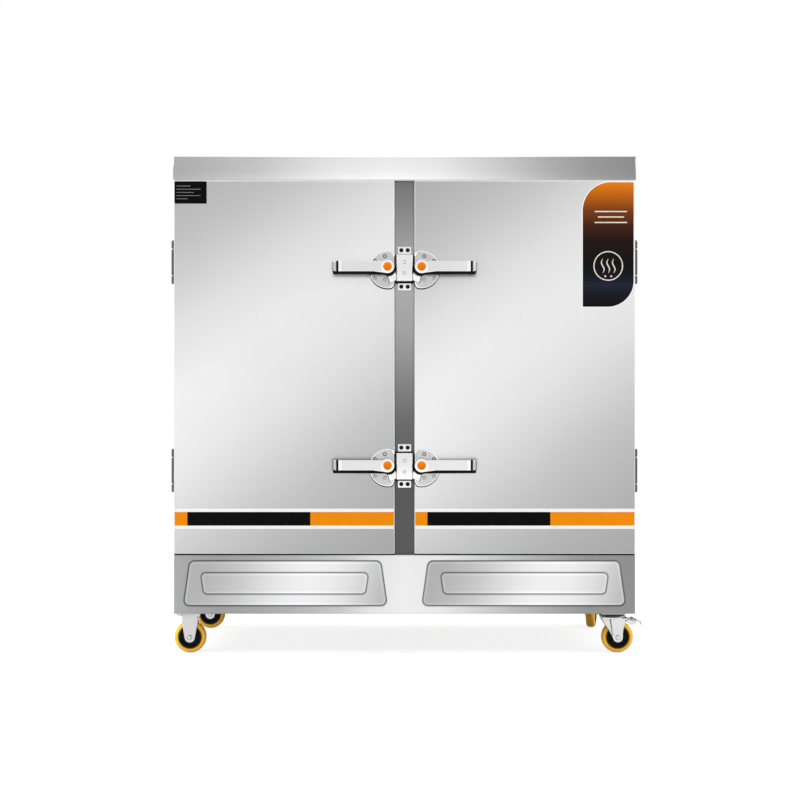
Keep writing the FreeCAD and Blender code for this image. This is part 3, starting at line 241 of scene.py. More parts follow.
@dataclass(frozen=True)
class Steel:
    """Brushed stainless sheet or casting."""

    name: str
    grey: float = 215.0
    roughness: float = 0.3
    grain: Grain = Grain.UPRIGHT
    grain_depth: float = 0.05
    relief: float = 0.06
    sheen: Optional[Sheen] = None
    shaded: bool = False
    warmth: float = 0.0
    spread: float = 7.0
    waver: float = 0.02

    def build(self) -> Paint:
        """Makes the material.

        Returns:
            A metal whose tone, roughness and relief follow its brushing marks.
        """
        graph = Graph(self.name)
        tone = self._patches(graph) if self.sheen is None else self._bands(graph, self.sheen)
        marks = (graph.noise(self.grain.value, 3.0, 0.6), "Fac")
        contrast = graph.ramp(marks, ((0.3, (1 - self.grain_depth * 2,) * 3 + (1.0,)), (0.7, WHITE)))
        colour = graph.product((tone, "Color"), (contrast, "Color"))
        if self.shaded:
            colour = graph.shade(colour)
        blend = graph.maths("MULTIPLY", marks, (graph.noise((5.0, 5.0, 5.0), 3.0), "Fac"))
        rough = graph.range((blend, 0), self.roughness * 0.8, self.roughness * 1.5)
        graph.bump(marks, self.relief, 0.0004)
        return graph.finish({"Metallic": 1.0, "Base Color": colour, "Roughness": rough})

    def _patches(self, graph: Graph) -> Node:
        """Ramp of broad, faint patches round the steel's grey.

        Args:
            graph: the material's graph.

        Returns:
            The ramp.
        """
        low, high = self.grey - self.spread, self.grey + self.spread
        stops = ((0.3, tint(low, low, low)), (0.7, tint(high + self.warmth, high, high - self.warmth)))
        return graph.ramp((graph.noise((2.2, 2.2, 2.2), 2.0), "Fac"), stops)

    def _bands(self, graph: Graph, sheen: Sheen) -> Node:
        """Ramp of greys along the sheen's direction, wavering a little: painted reflection bands.

        Args:
            graph: the material's graph.
            sheen: the bands.

        Returns:
            The ramp.
        """
        split = graph.add("ShaderNodeSeparateXYZ", {"Vector": (graph.coords, "Object")})
        sideways = graph.maths("MULTIPLY", (split, "X"), sheen.along_x)
        upward = graph.maths("MULTIPLY", (split, "Z"), sheen.along_z)
        place = graph.maths("ADD", (sideways, 0), (upward, 0))
        noise = (graph.noise((1.6, 1.6, 1.6), 1.0), "Fac")
        wave = graph.range(noise, sheen.start - self.waver, sheen.start + self.waver)
        place = graph.maths("ADD", (place, 0), wave)
        low = sheen.stops[0][0]
        length = sheen.stops[-1][0] - low
        place = graph.maths("SUBTRACT", (place, 0), low)
        place = graph.maths("DIVIDE", (place, 0), length)
        return graph.ramp((place, 0), [((spot - low) / length, tint(grey, grey, grey + 0.8))
                                       for spot, grey in sheen.stops])


@dataclass(frozen=True)
class Moulded:
    """Plastic, rubber, paint or print with a fine surface."""

    name: str
    colour: Point3
    second: Point3
    roughness: float = 0.4
    relief: float = 0.1
    scale: float = 700.0
    specular: float = 0.3
    shaded: bool = False

    def build(self) -> Paint:
        """Makes the material.

        Returns:
            A material with a slight drift in colour and gloss.
        """
        graph = Graph(self.name)
        drift = graph.noise((24.0, 24.0, 24.0), 4.0)
        tone = graph.ramp((drift, "Fac"), ((0.32, tint(*self.second)), (0.68, tint(*self.colour))))
        colour = (tone, "Color")
        if self.shaded:
            colour = graph.shade(colour)
        grain = (graph.noise((self.scale,) * 3, 2.0), "Fac")
        rough = graph.range(grain, self.roughness * 0.85, self.roughness * 1.2)
        graph.bump(grain, self.relief, 0.0003)
        return graph.finish({"Specular IOR Level": self.specular, "Base Color": colour, "Roughness": rough})


@dataclass(frozen=True)
class Printed:
    """Glossy printed film whose colour runs down the sheet."""

    name: str
    top: float
    bottom: float
    stops: tuple[tuple[float, Point3], ...]

    def build(self) -> Paint:
        """Makes the material.

        Returns:
            A film whose stops run from the sheet's bottom to its top.
        """
        graph = Graph(self.name)
        split = graph.add("ShaderNodeSeparateXYZ", {"Vector": (graph.coords, "Object")})
        sockets = {"From Min": self.bottom, "From Max": self.top, "Value": (split, "Z")}
        place = graph.add("ShaderNodeMapRange", sockets)
        tone = graph.ramp((place, 0), [(spot, tint(*colour)) for spot, colour in self.stops])
        dots = (graph.noise((900.0, 900.0, 900.0), 1.0), "Fac")
        shift = graph.ramp(dots, ((0.35, (0.93, 0.93, 0.93, 1)), (0.65, WHITE)))
        colour = graph.product((tone, "Color"), (shift, "Color"))
        rough = graph.range(dots, 0.22, 0.32)
        return graph.finish({"Base Color": colour, "Roughness": rough, "Specular IOR Level": 0.08})


# Places read off the photograph, in its own columns and rows

PHOTO_SCALE = 0.0031
PHOTO_CENTRE = 404.0
PHOTO_BASE_ROW = 614.0
BASE_BOTTOM = 0.132
DOOR_COLUMN = {Side.LEFT: 174.0, Side.RIGHT: 413.3}
STRIPE_PLATE_COLUMNS = {Side.LEFT: (186.9, 309.8), Side.RIGHT: (426.9, 549.8)}
CORNER_PLATE_COLUMN, CORNER_PLATE_ROW = 206.1, 203.7
POSTER_COLUMN, POSTER_ROW = 581.3, 307.8
POSTER_RUN_ROWS = (181.0, 307.0)


def across(column: float) -> float:
    """Place in metres from the middle of the cabinet for a photograph column."""
    return (column - PHOTO_CENTRE) * PHOTO_SCALE


def height(row: float) -> float:
    """Height in metres for a photograph row."""
    return BASE_BOTTOM + (PHOTO_BASE_ROW - row) * PHOTO_SCALE


def metres(stops: Stops) -> Stops:
    """Stops given in photograph columns, turned into metres."""
    return tuple((across(column), grey) for column, grey in stops)


# Painted reflection: light and dark bands on the doors, cap, base and pressed panels, in display greys
DOOR_SLANT = 0.65
DOOR_BANDS: Stops = tuple((row * PHOTO_SCALE, grey) for row, grey in (
    (180, 178), (210, 184), (230, 189), (250, 195), (270, 202), (290, 210), (310, 217), (330, 224), (350, 228),
    (370, 232), (390, 234), (410, 233), (430, 231), (450, 227), (470, 223), (490, 216), (510, 209), (530, 201),
    (550, 193), (570, 186), (590, 180), (610, 175), (640, 167), (700, 156),
))


def door_sheen(inner_edge: float) -> Sheen:
    """Slanting bands of a door, from the door's left edge."""
    start = height(0.0) - DOOR_SLANT * inner_edge
    return Sheen(DOOR_SLANT, -1.0, start, DOOR_BANDS)


CAP_BANDS = metres((
    (170, 170), (190, 176), (220, 186), (260, 200), (300, 219), (340, 233), (385, 240), (420, 238), (440, 233),
    (470, 220), (510, 200), (550, 176), (590, 156), (620, 147), (636, 141),
))
BASE_BANDS = metres((
    (172, 162), (200, 151), (220, 149), (260, 158), (300, 172), (340, 188), (372, 214), (404, 223), (440, 219),
    (470, 204), (510, 181), (550, 161), (590, 139), (636, 135),
))
PRESSED_SLANT = -0.3
PRESSED_START = {Side.LEFT: 0.69, Side.RIGHT: -0.06}
PRESSED_BANDS: Stops = (
    (0.02, 168), (0.09, 179), (0.15, 190), (0.21, 205), (0.265, 217), (0.32, 224), (0.37, 226), (0.43, 222),
    (0.49, 212), (0.54, 197), (0.59, 181), (0.64, 171), (0.78, 165),
)
# Painted shade and light down the post: darkest low down, lightest a little below the top, darker again at the
# top
POST_BANDS: Stops = ((0.33, 88), (0.52, 88), (0.72, 107), (0.84, 132), (1.0, 161), (1.12, 171), (1.22, 170),
                     (1.34, 147), (1.40, 134), (1.47, 119))


class Finishes:
    """Every material of the cabinet, made once and handed out by name."""

    def __init__(self) -> None:
        """Builds all the finishes."""
        self.table: dict[str, Paint] = {}
        recipes: tuple[object, ...] = (
            *(Steel(side.label + "_door_sheet", grain_depth=0.022, relief=0.05, roughness=0.34,
                    sheen=door_sheen(across(DOOR_COLUMN[side]))) for side in Side),
            Steel("cap_sheet", grain=Grain.LEVEL, grain_depth=0.02, sheen=Sheen(1.0, 0.0, 0.0, CAP_BANDS)),
            Steel("base_sheet", grain=Grain.LEVEL, grain_depth=0.02, shaded=True,
                  sheen=Sheen(1.0, 0.0, 0.0, BASE_BANDS)),
            *(Steel(side.label + "_pressed_sheet", grain=Grain.LEVEL, grain_depth=0.02, shaded=True,
                    sheen=Sheen(1.0, PRESSED_SLANT, PRESSED_START[side] - PRESSED_SLANT * BASE_BOTTOM,
                                PRESSED_BANDS)) for side in Side),
            Steel("post_sheet", grain_depth=0.03, roughness=0.4, sheen=Sheen(0.0, 1.0, 0.0, POST_BANDS)),
            Steel("body_sheet", grey=188, grain_depth=0.04, roughness=0.36),
            Steel("liner_sheet", grey=198, grain_depth=0.035, roughness=0.3, warmth=1.5),
            Steel("dark_sheet", grey=112, grain_depth=0.05, roughness=0.36),
            Steel("plate_casting", grey=205, grain=Grain.NONE, grain_depth=0.03, roughness=0.3, relief=0.08),
            Steel("lever_casting", grey=228, grain=Grain.NONE, grain_depth=0.015, roughness=0.24, relief=0.04),
            # Brighter steel for the boss, tongue and rivets, and as painted highlight on the arm's band and
            # the plate's rim
            Steel("lever_band", grey=246, grain=Grain.NONE, grain_depth=0.01, roughness=0.2, relief=0.02),
            Steel("keeper_casting", grey=236, grain=Grain.UPRIGHT, grain_depth=0.015, roughness=0.26,
                  relief=0.03),
            Steel("screw_steel", grey=150, grain=Grain.NONE, grain_depth=0.05, roughness=0.28),
            # Grey painted shade on the lever's curled end
            Steel("lever_end", grey=196, grain=Grain.NONE, grain_depth=0.02, roughness=0.26, relief=0.03),
            Steel("zinc", grey=206, grain=Grain.NONE, grain_depth=0.05, roughness=0.24, relief=0.1),
            Steel("race_steel", grey=52, grain=Grain.NONE, grain_depth=0.08, roughness=0.3),
            Steel("hinge_steel", grey=88, grain=Grain.UPRIGHT, grain_depth=0.06, roughness=0.3),
            Steel("tube_paint", grey=128, grain=Grain.NONE, grain_depth=0.05, roughness=0.5),
            Steel("brass_metal", grey=170, grain=Grain.NONE, grain_depth=0.05, roughness=0.28, warmth=50.0),
            # White for painted highlight on the door edges and on the strip under the cap, and for the hinge
            # seam rings
            Moulded("bright_edge", (250, 250, 250), (244, 244, 245), 0.45, 0.02, specular=0.2),
            Moulded("black_screw_paint", (16, 16, 17), (24, 24, 26), 0.35, 0.06, specular=0.12),
            # Black for painted shadow: behind the latch plates and keepers, under the levers and tongues, in
            # the base gap
            Moulded("black_lip", (7, 7, 8), (13, 13, 14), 0.5, 0.1, specular=0.08),
            Moulded("orange_gloss", (244, 128, 12), (240, 120, 10), 0.3, 0.03, specular=0.1),
            Moulded("orange_tread", (255, 194, 64), (253, 180, 54), 0.4, 0.12, specular=0.12, shaded=True),
            Moulded("black_core", (17, 16, 17), (26, 24, 24), 0.45, 0.15, specular=0.12),
            Moulded("grey_rubber", (70, 71, 74), (58, 59, 62), 0.6, 0.3),
            Moulded("orange_film", (249, 147, 12), (247, 143, 10), 0.3, 0.02, specular=0.06),
            Moulded("white_film", (255, 255, 252), (253, 252, 250), 0.35, 0.02, specular=0.1),
            Moulded("black_film", (5, 5, 6), (8, 8, 9), 0.3, 0.03, specular=0.05),
            Moulded("grey_print", (150, 150, 152), (128, 128, 130), 0.4, 0.02, specular=0.1),
            Moulded("cream_print", (236, 226, 206), (224, 212, 190), 0.4, 0.02, specular=0.1),
            Moulded("foam_cells", (226, 214, 182), (208, 194, 160), 0.85, 0.6, scale=420.0),
            Printed("poster_print", height(POSTER_RUN_ROWS[0]), height(POSTER_RUN_ROWS[1]), (
                (0.0, (8, 8, 10)), (0.10, (20, 22, 30)), (0.17, (30, 36, 54)), (0.24, (18, 20, 30)),
                (0.34, (10, 9, 10)), (0.52, (28, 16, 12)), (0.64, (62, 30, 16)), (0.76, (120, 58, 16)),
                (0.88, (190, 98, 14)),
                (1.0, (238, 134, 14)),
            )),
        )
        for recipe in recipes:
            self.table[recipe.name] = recipe.build()

    def pick(self, *names: str) -> list[Paint]:
        """The materials of those names, in their order."""
        return [self.table[name] for name in names]


# Mesh making


class Form:
    """Collects beveled solids for one piece and turns them into an object."""

    def __init__(self) -> None:
        """Starts with nothing."""
        self.mesh = bmesh.new()

    def _take(self, part: BMesh, tone: Optional[int], flat_over: float = 1.0, rim: Optional[int] = None,
              flat_axis: Optional[Axis] = None) -> None:
        """Adds a finished solid.

        Args:
            part: the solid, which is used up.
            tone: material slot of its faces, or None where they have theirs.
            flat_over: faces whose shortest side is longer than this stay flat.
            rim: material slot of the rounded edges, where it differs.
            flat_axis: faces square to this axis stay flat.
        """
        bmesh.ops.recalc_face_normals(part, faces=part.faces)
        for face in part.faces:
            if tone is not None:
                face.material_index = tone
            shortest = min(edge.calc_length() for edge in face.edges)
            face.smooth = shortest < flat_over and len(face.verts) < 9
            if flat_axis is not None and abs(face.normal[flat_axis.value]) > 0.9995:
                face.smooth = False
            if rim is not None and face.smooth:
                face.material_index = rim
        self.pour(part)

    def pour(self, part: BMesh) -> None:
        """Adds a mesh as it is.

        Args:
            part: the mesh, which is used up.
        """
        scratch = bpy.data.meshes.new("scratch")
        part.to_mesh(scratch)
        part.free()
        self.mesh.from_mesh(scratch)
        bpy.data.meshes.remove(scratch)

    def box(self, low: Sequence[float], high: Sequence[float], bevel: float = 0.0, steps: int = 3,
            tone: int = 0, rim: Optional[int] = None) -> "Form":
        """Adds a box with rounded edges.

        Args:
            low: one corner.
            high: the opposite corner.
            bevel: radius of the edges.
            steps: facets across each edge.
            tone: material slot of its faces.
            rim: material slot of its rounded edges, where it differs.

        Returns:
            The form itself.
        """
        part = bmesh.new()
        bmesh.ops.create_cube(part, size=1.0)
        lows = [min(a, b) for a, b in zip(low, high)]
        highs = [max(a, b) for a, b in zip(low, high)]
        for vert in part.verts:
            for axis in range(3):
                vert.co[axis] = highs[axis] if vert.co[axis] > 0 else lows[axis]
        if bevel:
            bmesh.ops.bevel(part, geom=part.edges[:], offset=bevel, segments=steps, profile=0.5,
                affect="EDGES")
        self._take(part, tone, max(bevel * 0.9, 0.2 * MM), rim)
        return self

    def plate(self, outline: Outline, depth: Point2, bevel: float = 0.0, axis: Axis = Axis.Y, steps: int = 2,
              tone: int = 0, back_bevel: bool = True) -> "Form":
        """Adds a straight-sided plate with a closed outline.

        Args:
            outline: points on the two axes other than the thickness.
            depth: where the plate starts and ends; the first value is its front.
            bevel: radius of its rims.
            axis: direction of its thickness.
            steps: facets across each rim.
            tone: material slot of its faces.
            back_bevel: whether the second rim is rounded too.

        Returns:
            The form itself.
        """
        part = bmesh.new()
        rims = []
        for level in depth:
            ring = [part.verts.new(_place(axis, first, second, level)) for first, second in outline]
            rims.append(part.faces.new(ring))
            part.verts.ensure_lookup_table()
        front, back = rims
        count = len(outline)
        for index in range(count):
            following = (index + 1) % count
            part.faces.new(
                (front.verts[index], front.verts[following], back.verts[following], back.verts[index])
            )
        if bevel:
            faces = (front, back) if back_bevel else (front,)
            edges = list({edge for face in faces for edge in face.edges})
            bmesh.ops.bevel(part, geom=edges, offset=bevel, segments=steps, profile=0.5, affect="EDGES")
        self._take(part, tone, flat_axis=axis)
        return self

    def turned(self, profile: Outline, centre: Sequence[float], axis: Axis = Axis.Y, steps: int = 48,
            tone: int = 0, closed: bool = False) -> "Form":
        """Adds a solid of revolution.

        Args:
            profile: (place along the axis, radius) points; the places are real ones.
            centre: any point on the axis.
            axis: direction of the axis.
            steps: facets round it.
            tone: material slot of its faces.
            closed: whether the profile is a ring, as for a tyre.

        Returns:
            The form itself.
        """
        part = bmesh.new()
        others = [value for index, value in enumerate(centre) if index != axis.value]
        rings = []
        for along, radius in profile:
            if radius < 1e-7:
                rings.append([part.verts.new(_place(axis, others[0], others[1], along))])
                continue
            ring = []
            for step in range(steps):
                angle = 2 * math.pi * step / steps
                first = others[0] + radius * math.cos(angle)
                second = others[1] + radius * math.sin(angle)
                ring.append(part.verts.new(_place(axis, first, second, along)))
            rings.append(ring)
        pairs = list(zip(rings, rings[1:]))
        if closed:
            pairs.append((rings[-1], rings[0]))
        for before, after in pairs:
            _bridge(part, before, after, steps)
        self._take(part, tone, flat_axis=axis)
        return self

    def swept(self, path: Outline, section: Outline, tones: Sequence[int]) -> "Form":
        """Adds a bar whose upright section follows a level path.

        Args:
            path: (x, y) points of the bar's middle.
            section: (across, height) points of its section.
            tones: material slot of each stretch between two points.

        Returns:
            The form itself.
        """
        part = bmesh.new()
        rings = []
        section = supported(section, 0.4 * MM)
        for index, (x, y) in enumerate(path):
            ahead = path[min(index + 1, len(path) - 1)]
            behind = path[max(index - 1, 0)]
            run = Vector((ahead[0] - behind[0], ahead[1] - behind[1])).normalized()
            side = Vector((-run.y, run.x))
            rings.append([part.verts.new((x + side.x * off, y + side.y * off, up)) for off, up in section])
        for before, after, tone in zip(rings, rings[1:], tones):
            start = len(part.faces)
            _bridge(part, before, after, len(section))
            part.faces.ensure_lookup_table()
            for face in part.faces[start:]:
                face.material_index = tone
        part.faces.new(rings[0]).material_index = tones[0]
        part.faces.new(rings[-1]).material_index = tones[-1]
        self._take(part, None)
        return self

    def moved(self, matrix: Matrix) -> "Form":
        """Moves everything added so far."""
        bmesh.ops.transform(self.mesh, matrix=matrix, verts=self.mesh.verts)
        return self

    def build(self, name: str, finishes: Sequence[Paint], angle: float = 32.0) -> Thing:
        """Makes the object.

        Args:
            name: its name.
            finishes: one material for each slot.
            angle: edges sharper than this, in degrees, stay sharp.

        Returns:
            The object, at the origin.
        """
        data = bpy.data.meshes.new(name)
        self.mesh.to_mesh(data)
        self.mesh.free()
        return dressed(name, data, finishes, angle, False)


def _place(axis: Axis, first: float, second: float, along: float) -> Vector:
    """Point from its place along one axis and its two other values in X, Y, Z order."""
    others = (first, second)
    return Vector((*others[:axis.value], along, *others[axis.value:]))


def _bridge(part: BMesh, before: list, after: list, steps: int) -> None:
    """Joins two rings, either of which may be a single point.

    Args:
        part: the mesh.
        before: one ring of vertices.
        after: the next ring.
        steps: vertices in a full ring.
    """
    for step in range(steps):
        following = (step + 1) % steps
        if len(before) == 1 and len(after) == 1:
            return
        if len(before) == 1:
            part.faces.new((before[0], after[step], after[following]))
        elif len(after) == 1:
            part.faces.new((before[step], before[following], after[0]))
        else:
            part.faces.new((before[step], before[following], after[following], after[step]))


def dressed(name: str, data: bpy.types.Mesh, finishes: Sequence[Paint], angle: float,
        smooth: bool = True) -> Thing:
    """Object from a mesh, smooth except at its sharp edges and where a Form left it flat.

    Args:
        name: its name.
        data: the mesh.
        finishes: one material for each slot.
        angle: edges sharper than this, in degrees, stay sharp.
        smooth: whether every face is smoothed first.

    Returns:
        The object, in the scene.
    """
    for finish in finishes:
        data.materials.append(finish)
    if smooth:
        data.shade_smooth()
    data.set_sharp_from_angle(angle=math.radians(angle))
    thing = bpy.data.objects.new(name, data)
    bpy.context.scene.collection.objects.link(thing)
    return thing


def sketch(points: Iterable[Point2], x: float = 0.0, z: float = 0.0) -> list[Point2]:
    """Points given in millimetres, placed round a spot in metres."""
    return [(x + first * MM, z + second * MM) for first, second in points]


def arc(centre: Point2, radius: float, start: float, end: float, steps: int) -> list[Point2]:
    """Points on an arc, angles in degrees.

    Args:
        centre: its centre.
        radius: its radius.
        start: first angle.
        end: last angle.
        steps: stretches between them.

    Returns:
        The points, both ends included.
    """
    points = []
    for step in range(steps + 1):
        angle = math.radians(start + (end - start) * step / steps)
        points.append((centre[0] + radius * math.cos(angle), centre[1] + radius * math.sin(angle)))
    return points


def rounded(corners: Outline, radii: Sequence[float], steps: int = 8) -> list[Point2]:
    """Closed outline with each corner rounded to its own radius.

    Args:
        corners: the sharp corners, in order.
        radii: a radius for each, repeated where there are fewer.
        steps: stretches on each corner.

    Returns:
        The outline.
    """
    points: list[Point2] = []
    count = len(corners)
    for index, (x, z) in enumerate(corners):
        corner = Vector((x, z))
        to_before = (Vector(corners[index - 1]) - corner).normalized()
        to_after = (Vector(corners[(index + 1) % count]) - corner).normalized()
        radius = radii[index % len(radii)]
        if radius <= 0:
            points.append((x, z))
            continue
        half = to_before.angle(to_after) / 2
        centre = corner + (to_before + to_after).normalized() * radius / math.sin(half)
        first = corner + to_before * radius / math.tan(half) - centre
        last = corner + to_after * radius / math.tan(half) - centre
        sweep = first.angle(last)
        turn = 1.0 if first.x * last.y - first.y * last.x > 0 else -1.0
        base = math.atan2(first.y, first.x)
        for step in range(steps + 1):
            angle = base + turn * sweep * step / steps
            points.append((centre.x + radius * math.cos(angle), centre.y + radius * math.sin(angle)))
    return points


def supported(outline: Outline, gap: float) -> list[Point2]:
    """Outline with two more points near the ends of each long stretch, which keep it flat.

    Args:
        outline: a closed outline.
        gap: how far the added points lie from the ends.

    Returns:
        The longer outline.
    """
    points: list[Point2] = []
    for index, start in enumerate(outline):
        first, last = Vector(start), Vector(outline[(index + 1) % len(outline)])
        points.append(start)
        run = last - first
        if run.length > 6 * gap:
            points.append(tuple(first + run.normalized() * gap))
            points.append(tuple(last - run.normalized() * gap))
    return points


def rectangle(low: Point2, high: Point2, radius: float, steps: int = 4) -> list[Point2]:
    """Closed rectangle with rounded corners."""
    corners = ((low[0], low[1]), (high[0], low[1]), (high[0], high[1]), (low[0], high[1]))
    return rounded(corners, (radius,), steps)


def stand_for(thing: Thing, body: str, slot: str, *nodes: str) -> Thing:
    """Sets what a piece rides on, and hides the nodes it stands for.

    Args:
        thing: the piece.
        body: the body it moves with.
        slot: the record's material slot; not used.
        nodes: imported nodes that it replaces, if any.

    Returns:
        The piece.
    """
    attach(thing, body)
    if nodes:
        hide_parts(*nodes)
    log.info("%s on %s, %d faces", thing.name, body, len(thing.data.polygons))
    return thing


# Patterns made with Geometry Nodes


class Pattern(Wiring):
    """A Geometry Nodes tree with named inputs, evaluated into a plain mesh."""

    def __init__(self, name: str) -> None:
        """Starts a tree with Geometry going in and out.

        Args:
            name: the tree's name.
        """
        super().__init__(bpy.data.node_groups.new(name, "GeometryNodeTree"))
        for way in ("OUTPUT", "INPUT"):
            self.tree.interface.new_socket("Geometry", in_out=way, socket_type="NodeSocketGeometry")
        self.inlet = self.add("NodeGroupInput")
        self.keys: dict[str, str] = {}

    def size(self, name: str, kind: str = "Float") -> tuple[Node, str]:
        """Adds a named input.

        Args:
            name: its name.
            kind: its type.

        Returns:
            The pair to link from.
        """
        socket = self.tree.interface.new_socket(name, in_out="INPUT", socket_type="NodeSocket" + kind)
        self.keys[name] = socket.identifier
        return self.inlet, name

    def end(self, source: tuple) -> None:
        """Realizes the instances, sets the material and closes the tree.

        Args:
            source: the (node, socket) pair of the instances.
        """
        realize = self.add("GeometryNodeRealizeInstances", {"Geometry": source})
        sockets = {"Geometry": (realize, "Geometry"), "Material": self.size("Material", "Material")}
        paint = self.add("GeometryNodeSetMaterial", sockets)
        self.add("NodeGroupOutput", {"Geometry": (paint, "Geometry")})

    def make(self, name: str, places: Sequence[Point3], angle: float, **values: object) -> Thing:
        """Evaluates the tree on a mesh of points.

        Args:
            name: name of the resulting piece.
            places: the points.
            angle: edges sharper than this, in degrees, stay sharp.
            values: one value for each named input, underscores for spaces.

        Returns:
            A plain mesh object.
        """
        points = bpy.data.meshes.new(name + "_points")
        points.from_pydata([tuple(place) for place in places], [], [])
        carrier = bpy.data.objects.new(name + "_carrier", points)
        bpy.context.scene.collection.objects.link(carrier)
        modifier = carrier.modifiers.new("pattern", "NODES")
        modifier.node_group = self.tree
        for key, value in values.items():
            modifier[self.keys[key.replace("_", " ")]] = value
        graph = bpy.context.evaluated_depsgraph_get()
        data = bpy.data.meshes.new_from_object(carrier.evaluated_get(graph))
        data.name = name
        carrier.modifiers.remove(modifier)
        bpy.data.objects.remove(carrier)
        kept = [material for material in data.materials if material]
        data.materials.clear()
        return dressed(name, data, kept[:1], angle)


class Fastening(Pattern):
    """Puts one fastener on every point, each turned by its own angle."""

    def __init__(self) -> None:
        """Builds the tree."""
        super().__init__("fasteners_on_points")
        fastener, facing, seed = [self.size(name, kind) for name, kind in (
            ("Fastener", "Object"), ("Facing", "Vector"), ("Seed", "Int"))]
        info = self.add("GeometryNodeObjectInfo", {"Object": fastener})
        place = self.add("GeometryNodeInstanceOnPoints", {
            "Points": (self.inlet, "Geometry"), "Instance": (info, "Geometry"), "Rotation": facing})
        chance = self.add("FunctionNodeRandomValue", {
            "Min": ORIGIN, "Max": (0.0, 0.0, math.tau), "Seed": seed}, data_type="FLOAT_VECTOR")
        spin = self.add("GeometryNodeRotateInstances", {
            "Instances": (place, "Instances"), "Rotation": (chance, "Value")})
        self.end((spin, "Instances"))


class Spokes(Pattern):
    """A ring of flat ribs round a level axis through the point."""

    def __init__(self) -> None:
        """Builds the tree."""
        super().__init__("ribs_round_a_hub")
        count, middle, rib, facing = [self.size(name, kind) for name, kind in (
            ("Count", "Int"), ("Middle Radius", "Float"), ("Rib Size", "Vector"), ("Facing", "Vector"))]
        ring = self.add("GeometryNodeMeshCircle", {"Vertices": count, "Radius": middle})
        cube = self.add("GeometryNodeMeshCube", {"Size": rib})
        index = self.add("GeometryNodeInputIndex")
        share = self.add("ShaderNodeMath", {0: (index, 0), 1: count}, operation="DIVIDE")
        angle = self.add("ShaderNodeMath", {0: (share, 0), 1: math.tau}, operation="MULTIPLY")
        turn = self.add("ShaderNodeCombineXYZ", {"Z": (angle, 0)})
        place = self.add("GeometryNodeInstanceOnPoints", {
            "Points": (ring, "Mesh"), "Instance": (cube, "Mesh"), "Rotation": (turn, 0)})
        wheel = self.add("GeometryNodeInstanceOnPoints", {
            "Points": (self.inlet, "Geometry"), "Instance": (place, "Instances"), "Rotation": facing})
        self.end((wheel, "Instances"))


class SealRing(Pattern):
    """A rounded strip that runs round a rounded upright rectangle."""

    def __init__(self) -> None:
        """Builds the tree."""
        super().__init__("seal_round_a_rectangle")
        sizes = [self.size(name) for name in (
            "Width", "Height", "Corner", "Strip Width", "Strip Depth", "Strip Corner")]
        path, section = self._rounded(*sizes[:3], 6), self._rounded(*sizes[3:], 4)
        sweep = self.add("GeometryNodeCurveToMesh", {"Curve": path, "Profile Curve": section})
        place = self.add("GeometryNodeInstanceOnPoints", {
            "Rotation": (math.pi / 2, 0.0, 0.0), "Points": (self.inlet, "Geometry"),
            "Instance": (sweep, "Mesh")})
        self.end((place, "Instances"))

    def _rounded(self, wide: tuple, high: tuple, corner: tuple, steps: int) -> tuple[Node, str]:
        """Rectangle curve with rounded corners, as a pair to link from."""
        shape = self.add("GeometryNodeCurvePrimitiveQuadrilateral", {"Width": wide, "Height": high})
        return self.add("GeometryNodeFilletCurve", {
            "Count": steps, "Curve": (shape, "Curve"), "Radius": corner}, mode="POLY"), "Curve"


class Head(Enum):
    """Kinds of fastener head."""

    FLAT = "flat"
    DOME = "dome"
    RIVET = "rivet"
    HEX = "hex"


FACING = {
    "front": Euler((math.pi / 2, 0.0, 0.0)),
    "back": Euler((-math.pi / 2, 0.0, 0.0)),
    "left": Euler((0.0, -math.pi / 2, 0.0)),
    "right": Euler((0.0, math.pi / 2, 0.0)),
    "down": Euler((math.pi, 0.0, 0.0)),
}


@dataclass
class Fasteners:
    """Makes rows and groups of screw heads and rivets."""

    finishes: Finishes
    tree: Fastening = field(default_factory=Fastening)
    seed: int = 7

    def head(self, kind: Head, radius: float, rise: float) -> Thing:
        """One head that stands on z = 0 and faces up.

        Args:
            kind: its shape.
            radius: its radius.
            rise: how far it stands proud.

        Returns:
            A temporary object.
        """
        form = Form()
        sink = -0.4 * MM
        if kind is Head.HEX:
            points = arc((0.0, 0.0), radius, 30.0, 330.0, 5)
            form.plate(points, (rise, sink), rise * 0.18, Axis.Z, back_bevel=False)
        elif kind is Head.FLAT:
            slot = radius * 0.55
            form.turned(
                ((sink, 0.0), (sink, radius), (0.0, radius), (rise, radius * 0.93), (rise, slot),
                 (0.2 * rise, slot * 0.8),
                 (0.2 * rise, 0.0)),
                ORIGIN, Axis.Z, 20,
            )
        else:
            dip = 0.42 * radius if kind is Head.DOME else 0.0
            profile = [(sink, 0.0), (sink, radius), (0.1 * rise, radius)]
            profile += [(rise * math.sin(math.radians(a)), radius * math.cos(math.radians(a))) for a in (20,
                40, 60)]
            if dip:
                profile += [(rise * 0.96, dip), (rise * 0.35, dip * 0.9), (rise * 0.35, 0.0)]
            else:
                profile.append((rise, 0.0))
            form.turned(profile, ORIGIN, Axis.Z, 16)
        return form.build("head_source", ())

    def scatter(self, name: str, places: Sequence[Point3], facing: str, kind: Head, radius: float, rise: float,
            finish: str) -> Thing:
        """Heads on given places, as one mesh.

        Args:
            name: the piece's name.
            places: where the heads stand.
            facing: a key of FACING.
            kind: shape of the heads.
            radius: their radius.
            rise: how far they stand proud.
            finish: name of their material.

        Returns:
            The heads, on no body yet.
        """
        source = self.head(kind, radius, rise)
        group = self.tree.make(
            name, places, 30.0, Fastener=source, Facing=tuple(FACING[facing]), Seed=self.seed,
            Material=self.finishes.table[finish]
        )
        bpy.data.objects.remove(source)
        self.seed += 1
        return group


# The cabinet's pieces


